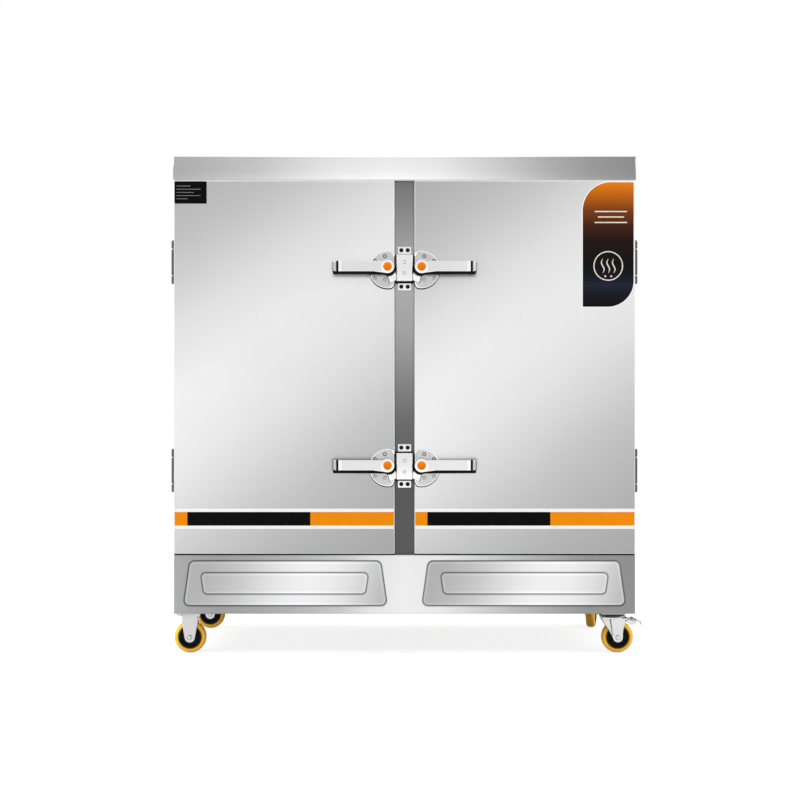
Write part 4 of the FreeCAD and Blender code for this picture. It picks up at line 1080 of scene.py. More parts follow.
@dataclass
class Door:
    """One door: outer pan, stripe, plates and gasket."""

    side: Side
    finishes: Finishes
    edge_radius: float = 1.8 * MM
    film: float = 0.35 * MM
    stripe_rows: tuple[float, float, float, float] = (508.8, 512.1, 525.7, 529.0)

    def __post_init__(self) -> None:
        """Reads the door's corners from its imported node."""
        self.body = self.side.label + "_door"
        self.low, self.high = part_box(self.body + "_skin")

    def dress(self) -> None:
        """Builds every piece of the door."""
        self.pan()
        self.stripe()
        self.gasket()
        if self.side is Side.LEFT:
            self.name_plate()
        else:
            self.poster()

    def pan(self) -> None:
        """Outer pan with soft folded edges, drawn in bright white as a painted highlight."""
        back = (self.high[0], self.high[1] - 0.2 * MM, self.high[2])
        # rim=1: the rounded edges take bright_edge white, a painted highlight
        form = Form().box(self.low, back, self.edge_radius, 5, rim=1)
        tones = self.finishes.pick(self.side.label + "_door_sheet", "bright_edge")
        piece = form.build(self.body + "_pan", tones, 50.0)
        stand_for(piece, self.body, "door_steel", self.body + "_skin")

    def film_sheet(self, name: str, outline: Outline, finish: str, slot: str, layer: int = 1) -> None:
        """A thin film on the door's front, layer counting from the sheet.

        Args:
            name: the piece's name.
            outline: its (x, z) points.
            finish: name of its material.
            slot: the record's material slot.
            layer: its place, counted from the sheet.
        """
        face = self.low[1]
        form = Form().plate(outline, (face - self.film * layer, face - self.film * (layer - 1)), 0.1 * MM,
            steps=1)
        stand_for(form.build(name, self.finishes.pick(finish)), self.body, slot)

    def stripe(self) -> None:
        """Orange stripe with white edges and the bare black plate on it."""
        tops = [height(row) for row in self.stripe_rows]
        left, right = self.low[0] + 0.5 * MM, self.high[0] - 0.5 * MM
        inset = self.edge_radius
        rows = (("white_upper", tops[1], tops[0], "white_film"), ("orange", tops[2], tops[1], "orange_film"),
                ("white_lower", tops[3], tops[2], "white_film"))
        for name, low, high, finish in rows:
            outline = rectangle((left + inset, low), (right - inset, high), 0.3 * MM, 1)
            self.film_sheet(self.body + "_stripe_" + name, outline, finish, "orange_plastic")
        start, end = STRIPE_PLATE_COLUMNS[self.side]
        outline = rectangle((across(start), tops[2]), (across(end), tops[1]), 0.8 * MM)
        self.film_sheet(self.body + "_stripe_plate", outline, "black_film", "black_plastic", 2)

    def name_plate(self) -> None:
        """Bare black plate in the corner with a few plain printed rules."""
        left, right = self.low[0] + self.edge_radius, across(CORNER_PLATE_COLUMN)
        top, bottom = self.high[2] - self.edge_radius, height(CORNER_PLATE_ROW)
        outline = rectangle((left, bottom), (right, top), 1.5 * MM)
        self.film_sheet("corner_plate", outline, "black_film", "black_plastic", 2)
        pitch = (top - bottom) / 7
        for row, reach in enumerate((0.5, 0.86, 0.62, 0.86, 0.4)):
            z = top - pitch * (row + 1.6)
            start = left + 6 * MM
            end = start + (right - left - 12 * MM) * reach
            rule = rectangle((start, z), (end, z + 1.6 * MM), 0.2 * MM, 1)
            self.film_sheet("corner_plate_rule_%d" % (row + 1), rule, "grey_print", "black_plastic", 3)

    def poster(self) -> None:
        """Printed panel: a colour run with a ring, steam curls and plain rules."""
        left, right = across(POSTER_COLUMN), self.high[0] - self.edge_radius
        top, bottom = self.high[2] - self.edge_radius, height(POSTER_ROW)
        border = 3 * MM
        corners = ((left, bottom), (right, bottom), (right, top), (left, top))
        radii = (3 * MM, 83 * MM, 3 * MM, 90 * MM)
        self.film_sheet("poster_border", rounded(corners, radii, 16), "white_film", "orange_plastic")
        inner = ((left + border, bottom + border), (right - border, bottom + border),
                 (right - border, top - border), (left + border, top - border))
        radii = tuple(max(radius - border, 1 * MM) for radius in radii)
        self.film_sheet("poster_print", rounded(inner, radii, 16), "poster_print", "black_plastic", 2)
        self._motif((left + right) / 2, bottom + 0.33 * (top - bottom))
        wide = right - left
        for row, (start, reach) in enumerate(((0.24, 0.62), (0.30, 0.5), (0.24, 0.62))):
            z = top - (96 + 17 * row) * MM
            rule = rectangle((left + wide * start, z), (left + wide * (start + reach), z + 4 * MM), 1.9 * MM)
            self.film_sheet("poster_rule_%d" % (row + 1), rule, "cream_print", "orange_plastic", 3)

    def _motif(self, x: float, z: float) -> None:
        """Ring with three rising steam curls, a plain device of no maker.

        Args:
            x: its middle across.
            z: height of its middle.
        """
        face = self.low[1]
        form = Form()
        depth = (face - self.film * 3, face - self.film * 2)
        outer, inner = 46 * MM, 42.5 * MM
        profile = ((depth[1], inner), (depth[0], inner), (depth[0], outer), (depth[1], outer))
        form.turned(profile, (x, 0.0, z), Axis.Y, 72, closed=True)
        for shift in (-17 * MM, 0.0, 17 * MM):
            form.plate(self._curl(x + shift, z - 22 * MM, 44 * MM, 7 * MM, 4.5 * MM), depth)
        for shift in (-9 * MM, 9 * MM):
            form.plate(arc((x + shift, z - 32 * MM), 3 * MM, 0.0, 337.5, 15), depth)
        stand_for(form.build("poster_motif", self.finishes.pick("cream_print")), self.body, "orange_plastic")

    @staticmethod
    def _curl(x: float, z: float, tall: float, sway: float, thick: float) -> list[Point2]:
        """Outline of one wavy steam curl that thins towards its ends.

        Args:
            x: its middle across.
            z: its foot.
            tall: its height.
            sway: reach of its wave.
            thick: its middle's thickness.

        Returns:
            The outline.
        """
        steps = 20
        right, left = [], []
        for step in range(steps + 1):
            share = step / steps
            middle = x + sway * math.sin(share * math.tau) * 0.6
            half = thick / 2 * math.sin(math.pi * (0.08 + 0.84 * share))
            right.append((middle + half, z + tall * share))
            left.append((middle - half, z + tall * share))
        return right + left[::-1]

    def gasket(self) -> None:
        """Rubber seal round the door's inner face."""
        low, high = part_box(self.body + "_gasket")
        width = 16 * MM
        middle = ((low[0] + high[0]) / 2, (low[1] + high[1]) / 2, (low[2] + high[2]) / 2)
        ring = SealRing().make(
            self.body + "_seal", [middle], 40.0,
            Width=high[0] - low[0] - width, Height=high[2] - low[2] - width, Corner=10 * MM,
            Strip_Width=width, Strip_Depth=high[1] - low[1], Strip_Corner=3 * MM,
            Material=self.finishes.table["grey_rubber"],
        )
        stand_for(ring, self.body, "gasket_rubber", self.body + "_gasket")


@dataclass
class Latch:
    """One lever latch: base plate, screws, lever with tongue, and cap."""

    side: Side
    level: str
    finishes: Finishes
    fasteners: Fasteners
    plate_radius: float = 58 * MM
    plate_drop: float = 7.6 * MM
    plate_out: float = 51.4 * MM
    plate_edge: float = 31.5 * MM
    plate_thickness: float = 6 * MM
    corner: float = 13 * MM
    pivot_out: float = 52.5 * MM
    boss_radius: float = 21.5 * MM
    arm_height: float = 34 * MM
    arm_thickness: float = 7 * MM
    reach: float = 170 * MM
    curl: float = 14 * MM
    curl_return: float = 5 * MM
    # How far the arm overlaps its painted shadow, and how far the shadow falls below it
    shadow_over: float = 1.6 * MM
    shadow_fall: float = 7 * MM
    boss_face: float = -340 * MM
    boss_back: float = -325 * MM
    tongue_back: float = -317 * MM
    plate_face: float = -315 * MM
    stud_radius: float = 6 * MM
    screw_places: tuple[Point2, ...] = ((8.4, 41.4), (39.4, 26.8), (39.4, -26.8), (8.4, -31.4))

    def __post_init__(self) -> None:
        """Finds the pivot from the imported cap."""
        self.place = "%s_%s" % (self.side.label, self.level)
        self.name = self.place + "_lever"
        low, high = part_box(self.name + "_cap")
        self.x = (low[0] + high[0]) / 2
        self.z = (low[2] + high[2]) / 2
        self.sign = self.side.value

    def _plate_outline(self, grow: float, drop: float = 0.0) -> list[Point2]:
        """D-shaped outline, grown by a margin and lowered.

        Args:
            grow: the margin.
            drop: how much lower it lies.

        Returns:
            Its (x, z) points.
        """
        radius, edge = self.plate_radius + grow, self.plate_edge - grow
        middle_out, soft = self.plate_out, self.corner
        z = self.z - self.plate_drop - drop
        reach = math.sqrt(radius**2 - (middle_out - edge) ** 2)
        corner_angle = math.degrees(math.atan2(reach, edge - middle_out))
        points = [(edge, -reach + soft * 0.9), (edge, reach - soft * 0.9)]
        points += [(edge + soft * 0.28, reach - soft * 0.28 + 1.2 * MM)]
        points += arc((middle_out, 0.0), radius, corner_angle - 9.0, 9.0 - corner_angle, 56)
        points += [(edge + soft * 0.28, -reach + soft * 0.28 - 1.2 * MM)]
        return [(self.sign * out, z + rise) for out, rise in points]

    def plate(self) -> Thing:
        """Base plate: a black painted shadow lowered behind it, a bright rim of painted highlight, a grey
        face, and the stud.

        Returns:
            The plate, on no body yet.
        """
        face, back = self.plate_face, self.plate_face + self.plate_thickness
        # Black copy, grown and lowered behind the plate: painted shadow; the plate's body in bright steel
        # shows as a painted highlight round the grey face
        form = Form().plate(self._plate_outline(0.9 * MM, 2.4 * MM), (back - 1.2 * MM, back), tone=1)
        form.plate(self._plate_outline(0.0), (face + 0.6 * MM, back), 1.6 * MM, steps=3, tone=2,
            back_bevel=False)
        form.plate(self._plate_outline(-2.8 * MM), (face, face + 2 * MM), 0.5 * MM, back_bevel=False)
        form.turned(
            ((face, 0.0), (face, self.stud_radius), (self.boss_face + 4 * MM, self.stud_radius),
             (self.boss_face + 3.4 * MM, self.stud_radius - 0.6 * MM), (self.boss_face + 3.4 * MM, 0.0)),
            (self.x, 0.0, self.z), Axis.Y, 24,
        )
        tones = self.finishes.pick("plate_casting", "black_lip", "lever_band")
        return form.build(self.place + "_latch_plate", tones)

    def screws(self) -> list[Thing]:
        """Countersunk heads: a rim round a bright middle; the upper rims are black as painted shade, the lower
        ones plain screw steel.

        Returns:
            The rims and the middles, on no body yet.
        """
        heads = []
        name = self.place + "_latch_screw_"
        for row, above in (("upper", True), ("lower", False)):
            places = [
                (self.sign * (self.pivot_out + out * MM), self.plate_face,
                 self.z - self.plate_drop + rise * MM)
                for out, rise in self.screw_places if (rise > 0) is above
            ]
            # Upper rims in the painted-shadow black, lower ones plain screw steel
            rim = "black_lip" if above else "screw_steel"
            heads.append(self.fasteners.scatter(
                name + row + "_rims", places, "front", Head.FLAT, 6 * MM, 0.4 * MM, rim))
            heads.append(self.fasteners.scatter(
                name + row + "_middles", places, "front", Head.DOME, 4.1 * MM, 0.9 * MM, "plate_casting"))
        return heads

    def lever(self) -> None:
        """Arm with a curled end, boss, hub, a black painted shadow under the arm and boss, and tongue."""
        form = Form()
        x, z, sign = self.x, self.z, self.sign
        face, back = self.boss_face, self.boss_back
        soft = 2.2 * MM
        radius = self.boss_radius
        form.turned(
            ((back, 0.0), (back, radius), (face + soft, radius), (face + soft * 0.3, radius - soft * 0.3),
             (face, radius - soft), (face, 0.0)),
            (x, 0.0, z), Axis.Y, 64, tone=1,
        )
        hub = self.plate_face - 0.3 * MM
        form.turned(((back, 0.0), (back, 14 * MM), (hub, 14 * MM), (hub, 0.0)), (x, 0.0, z), Axis.Y, 40)
        self._arm(form)
        self._painted_shadow(form)
        places = ((-9.0, 4.0), (-7.0, 20.0), (1.5, 29.7), (7.7, 49.6), (26.7, 40.5), (26.7, 25.1), (19.0, 6.0))
        # The second tongue is a black copy, shifted out and down behind the first: a painted shadow
        for shift, fall, depth, tone in ((0.0, 0.0, (back, self.tongue_back), 1),
            (-1.6, 1.4, (-319 * MM, -317.4 * MM), 3)):
            tongue = [(x - sign * (inward + shift) * MM, z - (down + fall) * MM) for inward, down in places]
            form.plate(rounded(tongue, (1.5 * MM,), 3), depth, 0.6 * MM, tone=tone)
        names = ("lever_casting", "lever_band", "lever_end", "black_lip")
        piece = form.build(self.name + "_casting", self.finishes.pick(*names), 40.0)
        stand_for(piece, self.name + "_body", "cast_steel", self.name)

    def _arm(self, form: Form) -> None:
        """Flat arm that ends in a bright band of painted highlight, a black line of painted shade and a curled
        end in painted shade, black at its tip.

        Args:
            form: the form it is added to.
        """
        half = self.arm_height / 2
        thick = self.arm_thickness
        face = self.boss_face + 0.5 * MM
        middle_y = face + thick / 2
        turn = self.pivot_out + self.reach - self.curl
        band = 9.8 * MM
        section = rectangle((-thick / 2, self.z - half + self.shadow_over), (thick / 2, self.z + half), 2.0 * MM,
            3)
        stations = (self.pivot_out, turn - band - 5 * MM, turn - 5 * MM, turn)
        path = [(self.sign * out, middle_y) for out in stations]
        # Stretch tones: casting, then the painted highlight band, then black painted shade; the curl is grey
        # painted shade, black at its start and tip
        tones = [0, 1, 3]
        bend = self.curl - thick / 2
        for step in range(1, 11):
            angle = math.radians(9.0 * step)
            path.append((self.sign * (turn + bend * math.sin(angle)), middle_y + bend * (1 - math.cos(angle))))
            tones.append(3 if step == 1 or step > 7 else 2)
        path.append((path[-1][0], path[-1][1] + self.curl_return))
        form.swept(path, section, tones + [3])
        root = self.pivot_out + 42 * MM
        wedge = [(self.sign * self.pivot_out, self.z - self.boss_radius + 0.6 * MM),
                 (self.sign * root, self.z - half + self.shadow_over), (self.sign * root, self.z),
                 (self.sign * self.pivot_out, self.z)]
        form.plate(wedge, (face + 0.2 * MM, face + thick), 0.8 * MM)

    def _painted_shadow(self, form: Form) -> None:
        """Black painted shadow that runs under the arm and round the boss.

        Args:
            form: the form it is added to.
        """
        end = self.pivot_out + self.reach - 2 * MM
        top, bottom = -self.arm_height / 2 + self.shadow_over + 2 * MM, -self.arm_height / 2 - self.shadow_fall
        centre, radius = (self.pivot_out - 4 * MM, -6.5 * MM), 22 * MM
        start = math.degrees(math.asin((bottom - centre[1]) / radius))
        points = [(end, top), (end, bottom + 3 * MM), (end - 1 * MM, bottom + 1 * MM), (end - 3 * MM, bottom)]
        points += arc(centre, radius, start, -205.0, 30)
        points += [(self.pivot_out, top)]
        outline = [(self.sign * out, self.z + rise) for out, rise in points]
        form.plate(outline, (self.boss_face + 2.4 * MM, self.boss_face + 6 * MM), 0.8 * MM, tone=3)

    def cap(self) -> None:
        """Domed orange cap over the pivot."""
        low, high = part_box(self.name + "_cap")
        radius = (high[0] - low[0]) / 2
        face, seat = low[1], self.boss_face
        dome = [(face + (seat - face) * (1 - math.cos(math.radians(a))), radius * math.sin(math.radians(a)))
                for a in (0, 22, 40, 55, 68, 78, 90)]
        profile = dome + [(seat, radius), (seat, 9 * MM), (high[1], 9 * MM), (high[1], 0.0)]
        form = Form().turned(profile, (self.x, 0.0, self.z), Axis.Y, 48)
        piece = form.build(self.name + "_cap_dome", self.finishes.pick("orange_gloss"), 60.0)
        stand_for(piece, self.name + "_body", "orange_plastic", self.name + "_cap")

    def dress(self) -> list[Thing]:
        """Builds the lever and the cap, and returns the plate and its screws.

        Returns:
            The plate and its screws.
        """
        self.lever()
        self.cap()
        return [self.plate()] + self.screws()


@dataclass
class Keepers:
    """Both catches on the post, with their screws and rivets."""

    finishes: Finishes
    fasteners: Fasteners
    levels: tuple[float, ...] = (1203.5 * MM, 590.3 * MM)
    half_width: float = 24.5 * MM
    half_height: float = 40.7 * MM
    tab_half: float = 20.7 * MM
    tab_reach: float = 67.7 * MM
    face: float = -330.5 * MM
    inner_face: float = -326.5 * MM
    foot: float = -297 * MM
    wall: float = 3 * MM
    screw_half: float = 10 * MM
    screw_rise: float = 56.7 * MM
    rivet_rise: float = 17 * MM

    def dress(self) -> None:
        """Builds the castings with a black painted shadow behind and above and below each, the rivets and the
        black screws.
        """
        form = Form()
        # A black plate behind each keeper, and black strips just below and above it: painted shadow
        shadow_half, shadow_face = self.half_width + 4 * MM, self.foot - self.wall
        for z in self.levels:
            form.box((-shadow_half, shadow_face + 0.4 * MM, z - self.half_height - 6.5 * MM),
                     (shadow_half, self.foot - 0.1 * MM, z + self.half_height + 3.5 * MM), 0.5 * MM, tone=1)
            for low, high in ((-5.6 * MM, 0.0), (0.0, 4.2 * MM)):
                edge = z + math.copysign(self.half_height, low + high)
                form.box((-self.half_width - 1.5 * MM, shadow_face - 0.9 * MM, edge + low),
                         (self.half_width + 1.5 * MM, shadow_face + 0.5 * MM, edge + high), 0.3 * MM, tone=1)
            form.box((-self.half_width, self.face, z - self.half_height),
                     (self.half_width, self.inner_face, z + self.half_height), 1.4 * MM)
            for direction in (-1, 1):
                edge = z + direction * self.half_height
                form.box((-self.half_width, self.inner_face - 1 * MM, edge),
                         (self.half_width, self.foot, edge - direction * self.wall), 0.8 * MM)
                form.box((-self.tab_half, self.foot - self.wall, edge - direction * self.wall),
                         (self.tab_half, self.foot, z + direction * self.tab_reach), 1.0 * MM)
        piece = form.build("keeper_castings", self.finishes.pick("keeper_casting", "black_lip"))
        stand_for(piece, "cabinet", "cast_steel", "latch_keepers")
        rivets = [(0.0, self.face, z + d * self.rivet_rise) for z in self.levels for d in (-1, 1)]
        for name, kind, radius, rise, finish in (
            ("keeper_rivet_rims", Head.FLAT, 5.2 * MM, 0.4 * MM, "dark_sheet"),
            ("keeper_rivets", Head.RIVET, 3.9 * MM, 1.0 * MM, "lever_band"),
        ):
            heads = self.fasteners.scatter(name, rivets, "front", kind, radius, rise, finish)
            stand_for(heads, "cabinet", "cast_steel")
        places = [(side * self.screw_half, self.foot - self.wall, z + d * self.screw_rise)
                  for z in self.levels for side in (-1, 1) for d in (-1, 1)]
        heads = self.fasteners.scatter("keeper_screw_heads", places, "front", Head.DOME, 6.6 * MM, 2.9 * MM,
                                       "black_screw_paint")
        stand_for(heads, "cabinet", "black_screw", "keeper_screws")


@dataclass
class Hinges:
    """Barrel hinges of both doors."""

    finishes: Finishes
    fasteners: Fasteners
    axis_out: float = 723.5 * MM
    axis_y: float = -259 * MM
    levels: tuple[float, ...] = (1226.5 * MM, 574 * MM)
    tall: float = 130 * MM
    end: float = 24.5 * MM
    barrel: float = 7 * MM
    pin: float = 4 * MM
    leaf: float = 3 * MM
    wide: float = 40 * MM
    setback: float = 8.5 * MM
    body_out: float = 715 * MM
    bright_ring: float = 2.4 * MM
    screw_rises: tuple[float, ...] = (-48 * MM, -16 * MM, 16 * MM, 48 * MM)

    def knuckle(self, form: Form, side: Side, low: float, high: float, bore: float, tone: int = 0) -> None:
        """One knuckle with chamfered ends.

        Args:
            form: the form it is added to.
            side: the hinge's side.
            low: its lower end.
            high: its upper end.
            bore: radius of its hole.
            tone: its material slot.
        """
        soft = 0.8 * MM if tone == 0 else 0.2 * MM
        profile = ((low, bore), (low, self.barrel - soft), (low + soft, self.barrel),
            (high - soft, self.barrel),
                   (high, self.barrel - soft), (high, bore))
        form.turned(profile, (side.value * self.axis_out, self.axis_y, 0.0), Axis.Z, 28, tone, closed=True)

    def strip(self, form: Form, side: Side, ys: Point2, low: float, high: float) -> None:
        """Flat stretch of a leaf."""
        form.box((side.value * self.body_out, ys[0], low),
                 (side.value * (self.body_out + self.leaf), ys[1], high), 0.6 * MM, 2)

    def dress(self) -> None:
        """Builds the frame leaves with their pins, and each door's leaves."""
        frame_form = Form()
        for side in Side:
            door_form = Form()
            for middle in self.levels:
                low, high = middle - self.tall / 2, middle + self.tall / 2
                start = self.axis_y + self.setback
                self.strip(frame_form, side, (start, start + self.wide), low, high)
                ring = self.bright_ring
                for bottom, top, seam in ((low, low + self.end, low + self.end - ring),
                                          (high - self.end, high, high - self.end)):
                    lift, drop = (ring, 0.0) if seam == bottom else (0.0, ring)
                    self.knuckle(frame_form, side, bottom + lift, top - drop, self.pin)
                    self.knuckle(frame_form, side, seam, seam + ring, self.pin, 1)
                    self.strip(frame_form, side, (self.axis_y, start + 1 * MM), bottom, top)
                profile = ((low - 3 * MM, 0.0), (low - 3 * MM, 5 * MM), (low - 2 * MM, 6 * MM), (low, 6 * MM),
                           (low, self.pin), (high, self.pin), (high, 6 * MM), (high + 2 * MM, 6 * MM),
                           (high + 3 * MM, 5 * MM), (high + 3 * MM, 0.0))
                frame_form.turned(profile, (side.value * self.axis_out, self.axis_y, 0.0), Axis.Z, 24)
                end = self.axis_y - self.setback
                self.strip(door_form, side, (end - self.wide + 2.5 * MM, end), low, high)
                inner = (low + self.end + 0.4 * MM, high - self.end - 1.2 * MM)
                self.knuckle(door_form, side, inner[0], inner[1], self.pin + 0.05 * MM)
                self.strip(door_form, side, (end - 1 * MM, self.axis_y), inner[0], inner[1])
            body = side.label + "_door"
            piece = door_form.build(body + "_hinge_halves", self.finishes.pick("hinge_steel"))
            stand_for(piece, body, "dark_steel", body + "_hinge_leaves")
            self.screw_rows(side, body, self.axis_y - self.setback - self.wide / 2 + 1 * MM)
            self.screw_rows(side, "cabinet", self.axis_y + self.setback + self.wide / 2)
        tones = self.finishes.pick("hinge_steel", "bright_edge")
        piece = frame_form.build("frame_hinge_halves", tones)
        stand_for(piece, "cabinet", "dark_steel", "frame_hinge_leaves")

    def screw_rows(self, side: Side, body: str, y: float) -> None:
        """Four countersunk screws in each leaf on one body.

        Args:
            side: the hinge's side.
            body: the body that the leaf rides on.
            y: the row's place in depth.
        """
        x = side.value * (self.body_out + self.leaf)
        places = []
        for middle in self.levels:
            places += [(x, y, middle + rise) for rise in self.screw_rises]
        name = "%s_%s_hinge_screws" % (side.label, body)
        heads = self.fasteners.scatter(name, places, side.label, Head.FLAT, 4 * MM, 0.5 * MM, "screw_steel")
        stand_for(heads, body, "dark_steel")


@dataclass
class TopCap:
    """Folded cap with soft front edges."""

    finishes: Finishes
    sheet: float = 1.5 * MM
    lip: float = 28 * MM
    soft: float = 2.6 * MM
    strip_half: float = 713 * MM
    strip_ys: Point2 = (-308 * MM, -299 * MM)

    @staticmethod
    def _close(part: BMesh, loop: list, steps: int = 4, gap: float = 3 * MM) -> None:
        """Closes a level rounded rectangle with one large face, side strips and corner fans.

        Args:
            part: the mesh.
            loop: vertices of the rectangle.
            steps: stretches on each corner.
            gap: width of the side strips.
        """
        middle = sum((vert.co for vert in loop), Vector()) / len(loop)
        inner = []
        for corner in range(4):
            group = loop[corner * (steps + 1):(corner + 1) * (steps + 1)]
            spot = group[steps // 2].co
            inward = Vector((math.copysign(gap, middle.x - spot.x), math.copysign(gap, middle.y - spot.y),
                0.0))
            inner.append(part.verts.new(spot + inward))
            for first, second in zip(group, group[1:]):
                part.faces.new((first, second, inner[-1]))
        for corner in range(4):
            following = (corner + 1) % 4
            ends = loop[corner * (steps + 1) + steps], loop[following * (steps + 1)]
            part.faces.new((ends[0], ends[1], inner[following], inner[corner]))
        part.faces.new(inner)

    def dress(self) -> None:
        """Builds the cap as a bent tray with a lip turned in below, and the bright strip under it, a painted
        highlight over the gap above the doors.
        """
        low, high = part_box("top_cap")
        sheet, lip, soft = self.sheet, self.lip, self.soft
        outside = ((lip, low[2] + sheet), (lip, low[2]), (soft, low[2]), (0.3 * soft, low[2] + 0.3 * soft),
                   (0.0, low[2] + soft), (0.0, high[2] - soft), (0.3 * soft, high[2] - 0.3 * soft),
                   (soft, high[2]))
        inside = ((lip, low[2] + sheet), (sheet, low[2] + sheet), (sheet, high[2] - sheet))
        part = bmesh.new()
        for rows, corner in ((outside, 4 * MM), (inside, 1 * MM)):
            loops = []
            for inset, z in rows:
                ends = (low[0] + inset, low[1] + inset), (high[0] - inset, high[1] - inset)
                outline = rectangle(*ends, max(corner - inset, 1 * MM))
                loops.append([part.verts.new((x, y, z)) for x, y in outline])
            for before, after in zip(loops, loops[1:]):
                _bridge(part, before, after, len(before))
            self._close(part, loops[-1])
        bmesh.ops.remove_doubles(part, verts=part.verts, dist=1e-6)
        form = Form()
        form._take(part, 0, 10 * MM, flat_axis=Axis.Z)
        piece = form.build("cap_shell", self.finishes.pick("cap_sheet"), 50.0)
        stand_for(piece, "cabinet", "door_steel", "top_cap")
        # Bright strip under the cap's front: painted highlight that fills the gap above the doors
        front, back = self.strip_ys
        strip = Form().box((-self.strip_half, front, low[2] - 2.5 * MM),
            (self.strip_half, back, low[2] + 0.2 * MM),
                           0.4 * MM)
        stand_for(strip.build("cap_drip_strip", self.finishes.pick("bright_edge")), "cabinet", "door_steel")


@dataclass
class BasePanel:
    """Front of the base box with its pressed outlines."""

    finishes: Finishes
    cell: float = 2.0 * MM
    line_half: float = 2.5 * MM
    line_depth: float = 1.1 * MM
    raise_by: float = 0.5 * MM
    # Painted shade in the outer and inner grooves, and the painted highlight beside them
    darkness: Point2 = (0.97, 0.88)
    glint: float = 0.22
    edge_roll: float = 2.4 * MM
    edge_fall: float = 1.8 * MM
    # Painted shadow strips in the gap between the base and the doors
    gap_shadow_xs: Point2 = (31.5 * MM, 714 * MM)
    gap_shadow_ys: Point2 = (-308.4 * MM, -299 * MM)

    def outlines(self, side: Side) -> list[tuple[list[Point2], float]]:
        """Corner points and corner radius of the outer and the inner outline.

        Args:
            side: half of the panel.

        Returns:
            The outer and the inner one, in metres.
        """
        sign = side.value
        outer = [(sign * 53.5, 157.5), (sign * 686.0, 157.5), (sign * 666.0, 296.5), (sign * 73.5, 296.5)]
        inner = [(sign * 121.0, 193.5), (sign * 623.0, 193.5), (sign * 633.0, 260.3), (sign * 111.0, 260.3)]
        return [([(x * MM, z * MM) for x, z in points], radius * MM) for points,
                radius in ((outer, 17), (inner, 14))]

    @staticmethod
    def distance(x: np.ndarray, z: np.ndarray, corners: Outline, radius: float) -> np.ndarray:
        """Signed distance to a rounded outline, negative inside.

        Args:
            x: places across.
            z: heights.
            corners: the outline's sharp corners.
            radius: its corner radius.

        Returns:
            One distance for each place.
        """
        centre = Vector((sum(p[0] for p in corners) / 4, sum(p[1] for p in corners) / 4))
        lines = []
        for index, corner in enumerate(corners):
            start, end = Vector(corner), Vector(corners[(index + 1) % 4])
            normal = Vector((end.y - start.y, start.x - end.x)).normalized()
            if normal.dot(centre - start) > 0:
                normal = -normal
            lines.append((start - normal * radius, normal))
        shrunk = []
        for index in range(4):
            (a, n), (b, m) = lines[index - 1], lines[index]
            det = n.x * m.y - n.y * m.x
            first, second = n.dot(a), m.dot(b)
            shrunk.append(((first * m.y - second * n.y) / det, (n.x * second - m.x * first) / det))
        best = np.full(x.shape, 1e9)
        inside = np.ones(x.shape, bool)
        for index in range(4):
            ax, az = shrunk[index]
            bx, bz = shrunk[(index + 1) % 4]
            ex, ez = bx - ax, bz - az
            share = np.clip(((x - ax) * ex + (z - az) * ez) / (ex * ex + ez * ez), 0.0, 1.0)
            best = np.minimum(best, np.hypot(x - ax - share * ex, z - az - share * ez))
            normal = lines[index][1]
            inside &= (x - ax) * normal.x + (z - az) * normal.y <= 0
        return np.where(inside, -best, best) - radius

    def dress(self) -> None:
        """Builds the sheet as a fine grid, pressed along the outlines, with painted shade in the grooves and a
        painted highlight just inside them.
        """
        low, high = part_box("base_front_panel")
        columns = int(round((high[0] - low[0]) / self.cell))
        rows = int(round((high[2] - low[2]) / self.cell))
        xs = np.linspace(low[0], high[0], columns + 1)
        zs = np.linspace(low[2], high[2], rows + 1)
        x, z = np.meshgrid(xs, zs)
        depth = np.zeros(x.shape)
        shade = np.ones(x.shape)
        region = np.zeros(x.shape, int)
        for tone, side in enumerate(Side, start=1):
            for rank, (corners, radius) in enumerate(self.outlines(side)):
                away = self.distance(x, z, corners, radius)
                # Painted shade darkens each groove and a painted highlight lightens the strip just inside it
                line = np.exp(-((away / self.line_half) ** 2) * 1.6)
                light = np.exp(-(((away + 2.2 * self.line_half) / self.line_half) ** 2))
                depth += self.line_depth * line - self.raise_by * 0.5 * light
                shade *= (1 - self.darkness[rank] * line) * (1 + self.glint * light)
                if rank == 0:
                    region[away < 0] = tone
        edge = np.minimum.reduce([x - low[0], high[0] - x, z - low[2], high[2] - z])
        roll = np.clip(1 - edge / self.edge_roll, 0.0, 1.0)
        y = low[1] + depth + self.edge_fall * roll**2
        front = np.stack([x, y, z], axis=-1).reshape(-1, 3)
        wide = columns + 1
        ids = np.arange(wide * (rows + 1)).reshape(rows + 1, wide)
        quads = np.stack([ids[:-1, :-1], ids[:-1, 1:], ids[1:, 1:], ids[1:, :-1]], axis=-1).reshape(-1, 4)
        rim = np.concatenate([ids[0, :], ids[1:, -1], ids[-1, -2::-1], ids[-2:0:-1, 0]])
        back = front[rim].copy()
        back[:, 1] = high[1]
        base = len(front)
        points = np.concatenate([front, back])
        faces = quads.tolist()
        count = len(rim)
        for index in range(count):
            following = (index + 1) % count
            faces.append((int(rim[following]), int(rim[index]), base + index, base + following))
        faces.append([base + index for index in range(count)])
        data = bpy.data.meshes.new("base_front_sheet")
        data.from_pydata(points.tolist(), [], faces)
        tones = region[:-1, :-1].reshape(-1).tolist() + [0] * (count + 1)
        names = ("base_sheet", "left_pressed_sheet", "right_pressed_sheet")
        piece = dressed("base_front_sheet", data, self.finishes.pick(*names), 50.0)
        data.polygons.foreach_set("material_index", tones)
        values = np.ones((len(points), 4))
        values[: len(front), :3] = shade.reshape(-1, 1)
        layer = data.color_attributes.new("shade", "FLOAT_COLOR", "POINT")
        layer.data.foreach_set("color", values.reshape(-1))
        stand_for(piece, "cabinet", "door_steel", "base_front_panel")
        self.gap_shadow()

